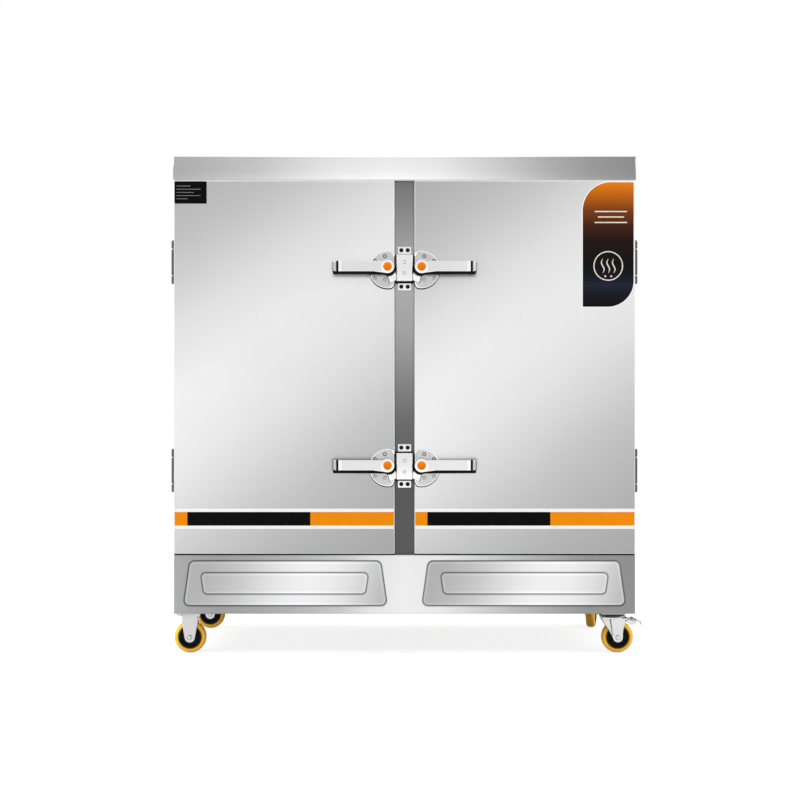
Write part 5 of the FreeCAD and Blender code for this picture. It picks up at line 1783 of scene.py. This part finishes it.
    def gap_shadow(self) -> None:
        """Black strips in the gap between the base and the doors: painted shadow."""
        form = Form()
        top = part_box("base_front_panel")[1][2]
        for side in Side:
            start, end = (side.value * x for x in self.gap_shadow_xs)
            form.box((start, self.gap_shadow_ys[0], top - 0.5 * MM), (end, self.gap_shadow_ys[1], top + 2.4 * MM),
                     0.4 * MM)
        stand_for(form.build("base_sill_strips", self.finishes.pick("black_lip")), "cabinet", "gasket_rubber")


@dataclass
class Wheel:
    """One caster wheel: tyre and core, turned about a level axle."""

    name: str
    centre: Point3
    turn: float
    finishes: Finishes
    ribs: Spokes
    radius: float = 50 * MM
    width: float = 32 * MM
    core: float = 36 * MM
    # Painted yellower highlight on the outer half, then painted shade and highlight by radius in millimetres
    side_highlight: float = 0.0
    shade_radii: tuple[float, ...] = (36.0, 37.6, 39.6, 42.5, 45.5, 48.5, 50.0)
    shade_tones: tuple[float, ...] = (0.30, 0.62, 1.05, 1.25, 1.15, 0.92, 0.66)

    def _frame(self) -> Matrix:
        """Matrix from the wheel's own axes to the cabinet's."""
        return Matrix.Translation(self.centre) @ Matrix.Rotation(math.radians(self.turn), 4, "Z")

    def dress(self) -> None:
        """Builds both pieces."""
        self.tyre()
        self.body()

    def tyre(self) -> None:
        """Ring with round shoulders and a fine parting line."""
        half, outer, inner = self.width / 2, self.radius, self.core
        crown = []
        steps = 22
        for step in range(steps + 1):
            angle = math.pi * step / steps
            along = -half * math.cos(angle)
            swell = math.sin(angle) ** 0.55
            crown.append((along, inner + 1.5 * MM + (outer - inner - 1.5 * MM) * swell))
        middle = steps // 2
        crown[middle] = (crown[middle][0], outer)
        profile = [(-half + 0.6 * MM, inner)] + crown + [(half - 0.6 * MM, inner)]
        form = Form().turned(profile, ORIGIN, Axis.Y, 72, closed=True)
        form.moved(self._frame())
        piece = form.build(self.name + "_tyre_ring", self.finishes.pick("orange_tread"), 60.0)
        self._shade(piece)
        stand_for(piece, self.name + "_wheel", "orange_tyre", self.name + "_tyre")

    def _shade(self, piece: Thing) -> None:
        """Writes painted shade at the tyre's edges, a painted highlight across its middle and, where set, a
        yellower painted highlight on its outer half, as an attribute.

        Args:
            piece: the tyre.
        """
        back = self._frame().inverted()
        places = [back @ vert.co for vert in piece.data.vertices]
        radii = np.array([math.hypot(place.x, place.z) for place in places]) / MM
        tone = np.interp(radii, self.shade_radii, self.shade_tones)
        lift = np.clip([-place.x / self.radius for place in places], 0.0, 1.0)
        values = np.ones((len(places), 4))
        values[:, 0] = tone
        values[:, 1] = tone * (1 + self.side_highlight * lift)
        values[:, 2] = tone
        layer = piece.data.color_attributes.new("shade", "FLOAT_COLOR", "POINT")
        layer.data.foreach_set("color", values.reshape(-1))

    def body(self) -> None:
        """Black core with stepped rims and a hub, and ribs on its web."""
        profile = (
            (-17.5, 5.05), (-17.5, 11.0), (-16.9, 12.4), (-15.0, 14.0), (-9.0, 15.0), (-5.6, 18.0),
            (-5.0, 20.0),
            (-5.0, 27.0), (-6.5, 29.0), (-11.5, 30.0), (-14.4, 30.4), (-15.0, 31.2), (-15.0, 35.2),
            (-14.2, 36.0),
            (14.2, 36.0), (15.0, 35.2), (15.0, 31.2), (14.4, 30.4), (11.5, 30.0), (6.5, 29.0), (5.0, 27.0),
            (5.0, 20.0),
            (5.6, 18.0), (9.0, 15.0), (15.0, 14.0), (16.9, 12.4), (17.5, 11.0), (17.5, 5.05),
        )
        form = Form().turned(sketch(profile), ORIGIN, Axis.Y, 64, closed=True).moved(self._frame())
        piece = form.build(self.name + "_core_body", self.finishes.pick("black_core"), 40.0)
        stand_for(piece, self.name + "_wheel", "black_plastic", self.name + "_wheel_core")
        facing = (Matrix.Rotation(math.radians(self.turn), 4, "Z") @ Matrix.Rotation(math.pi / 2, 4,
            "X")).to_euler()
        ribs = self.ribs.make(
            self.name + "_core_ribs", [self.centre], 30.0, Count=10, Middle_Radius=22 * MM,
            Rib_Size=(15 * MM, 2.4 * MM, 21 * MM), Facing=tuple(facing),
            Material=self.finishes.table["black_core"],
        )
        stand_for(ribs, self.name + "_wheel", "black_plastic")


@dataclass
class Casters:
    """All four casters: wheels, forks, tops, pedals and bolts."""

    finishes: Finishes
    fasteners: Fasteners
    rigid_x: float = -674 * MM
    swivel_x: float = 652 * MM
    inset_y: float = 235 * MM
    trail: float = 18 * MM
    axle_z: float = 50 * MM
    fork_gap: float = 36 * MM
    sheet: float = 3 * MM
    turns: Point2 = (0.0, 77.0)
    # Painted yellower highlight on the outer half of the front fixed wheel
    front_side_highlight: float = 0.45
    bolt_x: float = 28 * MM
    bolt_y: float = 42 * MM
    plate_half: Point2 = (38 * MM, 52 * MM)
    plate_zs: Point2 = (127 * MM, 132 * MM)
    pin_out: float = 26 * MM
    pin_z: float = 102 * MM

    def dress(self) -> None:
        """Builds everything."""
        ribs = Spokes()
        rigid = Form()
        tops = Form()
        bolts: list[Point3] = []
        shaded_bolts: list[Point3] = []
        for end, y, turn in (("front", -self.inset_y, self.turns[0]), ("rear", self.inset_y, self.turns[1])):
            side_highlight = self.front_side_highlight if end == "front" else 0.0
            Wheel(end + "_left", (self.rigid_x, y, self.axle_z), 0.0, self.finishes, ribs,
                  side_highlight=side_highlight).dress()
            self.rigid_fork(rigid, y)
            angle = math.radians(turn)
            centre = (self.swivel_x + self.trail * math.cos(angle), y + self.trail * math.sin(angle),
                      self.axle_z)
            Wheel(end + "_right", centre, turn, self.finishes, ribs).dress()
            self.swivel_top(tops, y)
            self.swivel_fork(end, y, turn)
            self.pedal(end, y, turn)
            for x, group in ((self.rigid_x, bolts), (self.swivel_x, shaded_bolts)):
                group += [(x + i * self.bolt_x, y + j * self.bolt_y, self.plate_zs[0]) for i in (-1,
                    1) for j in (-1, 1)]
        piece = rigid.build("rigid_fork_pair", self.finishes.pick("zinc", "screw_steel"))
        stand_for(piece, "cabinet", "zinc_steel", "rigid_caster_forks")
        piece = tops.build("swivel_top_pair", self.finishes.pick("zinc", "race_steel"))
        stand_for(piece, "cabinet", "zinc_steel", "swivel_caster_tops")
        pieces = [self.bolt_shanks(bolts + shaded_bolts)]
        # The swivel casters' bolt heads are drawn dark as painted shade; the same bolts on the fixed casters
        # stay zinc
        for name, places, finish in (("rigid_bolt_heads", bolts, "zinc"),
            ("swivel_bolt_heads", shaded_bolts, "race_steel")):
            heads = self.fasteners.scatter(name, places, "down", Head.HEX, 8 * MM, 6 * MM, finish)
            pieces.append(heads)
        stand_for(joined_pieces("caster_bolt_set", pieces), "cabinet", "zinc_steel", "caster_bolts")

    def bolt_shanks(self, places: Sequence[Point3]) -> Thing:
        """Shanks and nuts of the caster bolts, above their heads.

        Args:
            places: where the bolts' heads stand.

        Returns:
            The shanks, on no body yet.
        """
        form = Form()
        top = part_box("caster_bolts")[1][2]
        for x, y, z in places:
            seat = z + 5 * MM
            profile = ((z, 0.0), (z, 4.9 * MM), (seat, 4.9 * MM), (seat, 7 * MM), (seat + 1 * MM, 8 * MM),
                       (top - 1 * MM, 8 * MM), (top, 7 * MM), (top, 0.0))
            form.turned(profile, (x, y, 0.0), Axis.Z, 18)
        return form.build("bolt_shanks", self.finishes.pick("zinc"))

    def top_plate(self, form: Form, x: float, y: float) -> None:
        """Flat plate below the frame."""
        (half_x, half_y), (low, high) = self.plate_half, self.plate_zs
        form.box((x - half_x, y - half_y, low), (x + half_x, y + half_y, high), 1.2 * MM)

    def axle(self, form: Form, tone: int) -> None:
        """Axle with a stepped head at each end, about its own centre.

        Args:
            form: the form it is added to.
            tone: material slot of the washers.
        """
        leg = self.fork_gap / 2 + self.sheet
        for sign in (-1, 1):
            washer = ((0.0, 0.0), (0.0, 8.0), (0.9, 8.0), (1.3, 7.6), (1.3, 0.0))
            head = ((1.2, 0.0), (1.2, 5.8), (3.6, 5.8), (4.4, 5.0), (5.0, 3.4), (5.0, 0.0))
            for profile, slot in ((washer, tone), (head, 0)):
                points = [(sign * (leg + along * MM), radius * MM) for along, radius in profile]
                form.turned(points, ORIGIN, Axis.Y, 24, tone=slot)
        form.turned(((-leg, 0.0), (-leg, 5 * MM), (leg, 5 * MM), (leg, 0.0)), ORIGIN, Axis.Y, 24, tone=tone)

    def rigid_fork(self, form: Form, y: float) -> None:
        """Plate and legs of a fixed caster, added to the shared form.

        Args:
            form: the form it is added to.
            y: the caster's place in depth.
        """
        own = Form()
        half, shoulder, tip = 24.5 * MM, 45 * MM, 16 * MM
        outline = [(-half, 77 * MM), (half, 77 * MM), (half, shoulder)]
        outline += arc((0.0, 0.0), tip, -8.0, -172.0, 20)
        outline += [(-half, shoulder)]
        for sign in (-1, 1):
            near = sign * self.fork_gap / 2
            own.plate(outline, (near + sign * self.sheet, near), 1.0 * MM, steps=3)
        own.box((-half, -self.fork_gap / 2, 74 * MM), (half, self.fork_gap / 2, 77 * MM), 0.6 * MM)
        self.axle(own, 1)
        form.pour(own.moved(Matrix.Translation((self.rigid_x, y, self.axle_z))).mesh)
        self.top_plate(form, self.rigid_x, y)

    def swivel_top(self, form: Form, y: float) -> None:
        """Plate, black race and kingpin of a swivel caster.

        Args:
            form: the form it is added to.
            y: the caster's place in depth.
        """
        centre = (self.swivel_x, y, 0.0)
        profile = ((117, 0), (117, 36), (118.2, 39.5), (119.5, 41), (121.5, 41), (122.4, 40), (124, 40),
            (125, 41), (127, 41),
                   (127, 0))
        form.turned(sketch(profile), centre, Axis.Z, 56, tone=1)
        profile = ((103.5, 0), (103.5, 9), (104.5, 11), (108.7, 11), (108.7, 6), (117, 6), (117, 0))
        form.turned(sketch(profile), centre, Axis.Z, 32)
        self.top_plate(form, self.swivel_x, y)

    def _swivel_frame(self, y: float, turn: float) -> Matrix:
        """Matrix from the fork's own axes, centred on the swivel axis, to the cabinet's."""
        return Matrix.Translation((self.swivel_x, y, 0.0)) @ Matrix.Rotation(math.radians(turn), 4, "Z")

    def swivel_fork(self, end: str, y: float, turn: float) -> None:
        """Crown, legs, sloping front web and pedal pin of a swivel fork, with dark strips on each leg as
        painted shade along its groove and lower edge.

        Args:
            end: front or rear.
            y: the caster's place in depth.
            turn: the fork's angle, in degrees.
        """
        form = Form()
        wheel = self.trail
        low = self.axle_z
        lead, trail_end = -37 * MM, wheel + 31 * MM
        right = ((31.0, 62.0), (27.5, 56.0), (24.5, 46.0), (18.5, 35.0), (15.8, 24.0), (15.4, 12.0))
        left = ((-17.0, 5.0), (-31.0, 25.0), (-43.0, 43.0))
        outline = sketch(right, wheel, low)
        outline += arc((wheel, low), 15.4 * MM, 0.0, -164.0, 20)
        outline += sketch(left, wheel, low) + [(lead, 112 * MM)]
        groove = ((-27.0, 60.0), (-22.0, 60.0), (-17.5, 22.0), (-15.0, 3.0), (-16.5, 4.0), (-20.5, 20.0))
        edge = ((-54.5, 60.0), (-51.0, 60.0), (-40.5, 42.0), (-28.5, 25.0), (-15.6, 4.0), (-17.0, 5.0),
                (-31.0, 25.0),
                (-43.0, 43.0))
        for sign in (-1, 1):
            near = sign * self.fork_gap / 2
            form.plate(outline, (near + sign * self.sheet, near), 1.0 * MM, steps=3)
            face = near + sign * self.sheet
            # Dark strips along the leg's groove and lower edge: painted shade
            for strip in (groove, edge):
                points = sketch(strip, wheel, low)
                form.plate(points, (face + sign * 0.3 * MM, face - sign * 0.5 * MM), tone=2)
        half = self.fork_gap / 2 + self.sheet
        crown = ((109, 6.05), (109, 35), (110.5, 38), (114, 38), (115.5, 36.5), (116.7, 36), (116.7, 6.05))
        form.turned(sketch(crown), ORIGIN, Axis.Z, 56, closed=True)
        form.box((lead, -half, 109 * MM), (-30 * MM, half, 112 * MM), 0.6 * MM)
        form.box((30 * MM, -half, 109 * MM), (trail_end, half, 112 * MM), 0.6 * MM)
        web = [(lead, 112 * MM), (lead + 6 * MM, 112 * MM), (lead + 15 * MM, 91 * MM),
               (lead + 12 * MM, 91 * MM)]
        form.plate(web, (-half + 1 * MM, half - 1 * MM), 0.6 * MM)
        pin = (wheel + self.pin_out, 0.0, self.pin_z)
        form.turned(((-half, 0.0), (-half, 3 * MM), (half, 3 * MM), (half, 0.0)), pin, Axis.Y, 20)
        own = Form()
        self.axle(own, 1)
        form.pour(own.moved(Matrix.Translation((wheel, 0.0, self.axle_z))).mesh)
        form.moved(self._swivel_frame(y, turn))
        tones = self.finishes.pick("zinc", "screw_steel", "dark_sheet")
        piece = form.build(end + "_swivel_fork", tones)
        stand_for(piece, end + "_right_swivel", "zinc_steel", end + "_right_fork")

    def pedal(self, end: str, y: float, turn: float) -> None:
        """Pressed brake pedal with a curled tread and a dark tab.

        Args:
            end: front or rear.
            y: the caster's place in depth.
            turn: the fork's angle, in degrees.
        """
        form = Form()
        x, z = self.trail + self.pin_out, self.pin_z
        tread = ((-1, 6.6), (12, 7.0), (24, 4.4), (36, -1.6), (42, -0.6), (47.5, -1.8), (49.8, -6), (50, -14),
                 (47.2, -14),
                 (47, -7), (45, -4.4), (41.5, -3.4), (35.5, -4.8), (23, 1.2), (12, 3.6), (-1, 3.2))
        form.plate(sketch(tread, x, z), (-14 * MM, 14 * MM), 0.7 * MM)
        cheek = ((-3, 5), (9, 6), (21, 3.6), (31, -1.0), (36, -4.6), (30, -10.6), (22, -14.0), (14, -13.4),
                 (6, -9), (-2, -3))
        for near in (-14 * MM, 12 * MM):
            form.plate(sketch(cheek, x, z), (near, near + 2 * MM), 0.6 * MM)
        for low, high in (((16, 5.8), (25, 8.6)), ((27, 1.6), (34, 3.8))):
            form.box((x + low[0] * MM, -10 * MM, z + low[1] * MM),
                     (x + high[0] * MM, 10 * MM, z + high[1] * MM), 0.6 * MM,
                     tone=1)
        bore, outer, half = 3.05 * MM, 5.5 * MM, 17.5 * MM
        profile = ((-half, bore), (-half, outer), (half, outer), (half, bore))
        form.turned(profile, (x, 0.0, z), Axis.Y, 28, closed=True)
        form.moved(self._swivel_frame(y, turn))
        piece = form.build(end + "_pedal_tread", self.finishes.pick("zinc", "race_steel"))
        stand_for(piece, end + "_right_pedal", "zinc_steel", end + "_right_brake_pedal")


@dataclass
class BodyTrim:
    """Screws and rivets of the side, back and base sheets."""

    fasteners: Fasteners
    inset: float = 18 * MM
    side_out: float = 715 * MM
    rivet_ys: Point2 = (-236 * MM, 290 * MM)
    rivet_zs: Point2 = (345 * MM, 1448 * MM)
    screw_ys: Point2 = (-280 * MM, 285 * MM)
    screw_zs: Point2 = (150 * MM, 298 * MM)

    @staticmethod
    def spread(start: float, end: float, count: int) -> list[float]:
        """Even places from start to end."""
        return [start + (end - start) * step / (count - 1) for step in range(count)]

    def dress(self) -> None:
        """Builds each group."""
        low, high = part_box("back_panel")
        inset = self.inset
        back = []
        for x in (low[0] + inset, 0.0, high[0] - inset):
            back += [(x, high[1], z) for z in self.spread(low[2] + inset, high[2] - inset, 9)]
        for z in (low[2] + inset, high[2] - inset):
            back += [(x, high[1], z) for x in self.spread(low[0] + 7 * inset, high[0] - 7 * inset, 8)]
        groups = [("back_rivets", back, "back", Head.RIVET, 4 * MM, 1.4 * MM)]
        for side in Side:
            x, facing = side.value * self.side_out, side.label
            rivets = [(x, y, z) for y in self.rivet_ys for z in self.spread(*self.rivet_zs, 8)]
            screws = [(x, y, z) for y in self.spread(*self.screw_ys, 5) for z in self.screw_zs]
            groups += [(facing + "_side_rivets", rivets, facing, Head.RIVET, 4 * MM, 1.2 * MM),
                       (facing + "_base_screws", screws, facing, Head.DOME, 4.5 * MM, 1.8 * MM)]
        for group in groups:
            stand_for(self.fasteners.scatter(*group, "screw_steel"), "cabinet", "body_steel")


@dataclass
class PlainNodes:
    """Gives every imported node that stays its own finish."""

    finishes: Finishes
    groups: tuple[tuple[str, str], ...] = (
        ("tube_paint", "base_frame"), ("post_sheet", "centre_post_cover"), ("brass_metal", "water_fittings"),
        ("orange_gloss", "drain_lever"), ("black_core", "power_knob"),
        ("body_sheet", "base_shell side_panels back_panel refill_box"),
        ("dark_sheet", "heating_element control_box"),
        ("foam_cells", "insulation left_door_core right_door_core"),
        ("liner_sheet", "front_frame chamber_liners tray_racks water_tank steam_vents float_arm"),
        ("liner_sheet", "left_door_liner right_door_liner left_tray right_tray"),
    )

    def dress(self) -> None:
        """Sets each node's material."""
        for finish, name in [(finish, name) for finish, names in self.groups for name in names.split()]:
            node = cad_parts[name]
            if not node.material_slots:
                node.data.materials.append(self.finishes.table[finish])
            for slot in node.material_slots:
                slot.material = self.finishes.table[finish]
            log.info("%s finished in %s", name, finish)


@dataclass
class Studio:
    """Camera, lamps, floor and world."""

    distance: float = 4.3
    camera_x: float = -0.014
    camera_z: float = 0.795
    front: float = -0.309
    lens: float = 62.42
    sensor: float = 36.0
    floor_reach: float = 40.0
    floor_grey: float = 0.36
    floor_glow: float = 0.76
    room_greys: Stops = ((0.0, 0.55), (0.44, 0.80), (0.5, 0.97), (0.62, 1.0), (0.8, 0.9), (1.0, 1.05))
    aim: Point3 = (0.0, 0.0, 0.8)

    def dress(self) -> None:
        """Builds the studio."""
        self.camera()
        self.world()
        self.floor()
        self.lamps()

    def camera(self) -> None:
        """Camera straight in front of the cabinet."""
        data = bpy.data.cameras.new("camera")
        data.lens = self.lens
        data.sensor_width = self.sensor
        data.clip_end = 100.0
        eye = bpy.data.objects.new("camera", data)
        eye.location = (self.camera_x, self.front - self.distance, self.camera_z)
        eye.rotation_euler = (math.pi / 2, 0.0, 0.0)
        bpy.context.scene.collection.objects.link(eye)
        bpy.context.scene.camera = eye

    def world(self) -> None:
        """White room for the camera, and a softly graded one for light and gloss."""
        world = bpy.data.worlds.new("studio")
        bpy.context.scene.world = world
        world.use_nodes = True
        wiring = Wiring(world.node_tree)
        split = wiring.add("ShaderNodeSeparateXYZ", {0: (wiring.add("ShaderNodeTexCoord"), "Generated")})
        lift = wiring.add("ShaderNodeMapRange", {"From Min": -1.0, "Value": (split, "Z")})
        ramp = wiring.ramp((lift, 0), [(place, (grey, grey, grey, 1.0)) for place, grey in self.room_greys])
        room = wiring.add("ShaderNodeBackground", {"Color": (ramp, "Color"), "Strength": 1.0})
        plain = wiring.add("ShaderNodeBackground", {"Color": WHITE, "Strength": 1.0})
        path = wiring.add("ShaderNodeLightPath")
        mixer = wiring.add("ShaderNodeMixShader", {0: (path, "Is Camera Ray"), 1: (room, 0), 2: (plain, 0)})
        wiring.add("ShaderNodeOutputWorld", {"Surface": (mixer, 0)})

    def floor(self) -> None:
        """Plain pale floor that keeps a faint shadow."""
        data = bpy.data.meshes.new("floor")
        reach = self.floor_reach
        corners = [(-reach, -reach, 0), (reach, -reach, 0), (reach, reach, 0), (-reach, reach, 0)]
        data.from_pydata(corners, [], [(0, 1, 2, 3)])
        plane = bpy.data.objects.new("floor", data)
        bpy.context.scene.collection.objects.link(plane)
        material = bpy.data.materials.new("pale_floor")
        material.use_nodes = True
        wiring = Wiring(material.node_tree)
        matte = wiring.add("ShaderNodeBsdfDiffuse", {"Color": (self.floor_grey,) * 3 + (1.0,)})
        path = wiring.add("ShaderNodeLightPath")
        seen = wiring.add(
            "ShaderNodeMath", {0: (path, "Is Camera Ray"), 1: (path, "Is Glossy Ray")}, operation="ADD")
        strength = wiring.add("ShaderNodeMath", {0: (seen, 0), 1: self.floor_glow}, operation="MULTIPLY")
        glow = wiring.add("ShaderNodeEmission", {"Color": WHITE, "Strength": (strength, 0)})
        both = wiring.add("ShaderNodeAddShader", {0: (matte, 0), 1: (glow, 0)})
        wiring.add("ShaderNodeOutputMaterial", {"Surface": (both, 0)})
        data.materials.append(material)

    def lamps(self) -> None:
        """Two broad soft lamps in front and one above."""
        for name, place, size, power in (
            ("key", (-4.4, -2.2, 3.8), 2.4, 120.0),
            ("fill", (4.4, -2.0, 3.2), 2.4, 84.0),
            ("top", (0.0, 0.6, 4.2), 3.0, 40.0),
        ):
            data = bpy.data.lights.new(name, "AREA")
            data.shape = "DISK"
            data.size = size
            data.energy = power
            lamp = bpy.data.objects.new(name, data)
            lamp.location = place
            aim = Vector(self.aim) - Vector(place)
            lamp.rotation_euler = aim.to_track_quat("-Z", "Y").to_euler()
            bpy.context.scene.collection.objects.link(lamp)


def joined_pieces(name: str, pieces: Sequence[Thing]) -> Thing:
    """One object from several, keeping their materials.

    Args:
        name: name of the result.
        pieces: the objects, all at the origin.

    Returns:
        The joined object.
    """
    materials: list[Paint] = []
    whole = bmesh.new()
    for piece in pieces:
        start = len(whole.faces)
        whole.from_mesh(piece.data)
        whole.faces.ensure_lookup_table()
        own = list(piece.data.materials)
        for material in own:
            if material not in materials:
                materials.append(material)
        for face in whole.faces[start:]:
            face.material_index = materials.index(own[min(face.material_index, len(own) - 1)])
        bpy.data.objects.remove(piece)
    data = bpy.data.meshes.new(name)
    whole.to_mesh(data)
    whole.free()
    return dressed(name, data, materials, 32.0, False)


def main() -> None:
    """Builds the classes in order and reports each piece."""
    finishes = Finishes()
    fasteners = Fasteners(finishes)
    Studio().dress()
    PlainNodes(finishes).dress()
    for side in Side:
        Door(side, finishes).dress()
        pieces = []
        for level in ("upper", "lower"):
            pieces += Latch(side, level, finishes, fasteners).dress()
        plates = joined_pieces(side.label + "_latch_bases", pieces)
        stand_for(plates, side.label + "_door", "cast_steel", side.label + "_latch_plates")
    Keepers(finishes, fasteners).dress()
    Hinges(finishes, fasteners).dress()
    TopCap(finishes).dress()
    BasePanel(finishes).dress()
    Casters(finishes, fasteners).dress()
    BodyTrim(fasteners).dress()
    bpy.context.scene.view_settings.view_transform = "Standard"
    log.info("cabinet finished")


if __name__ == "__main__":
    main()
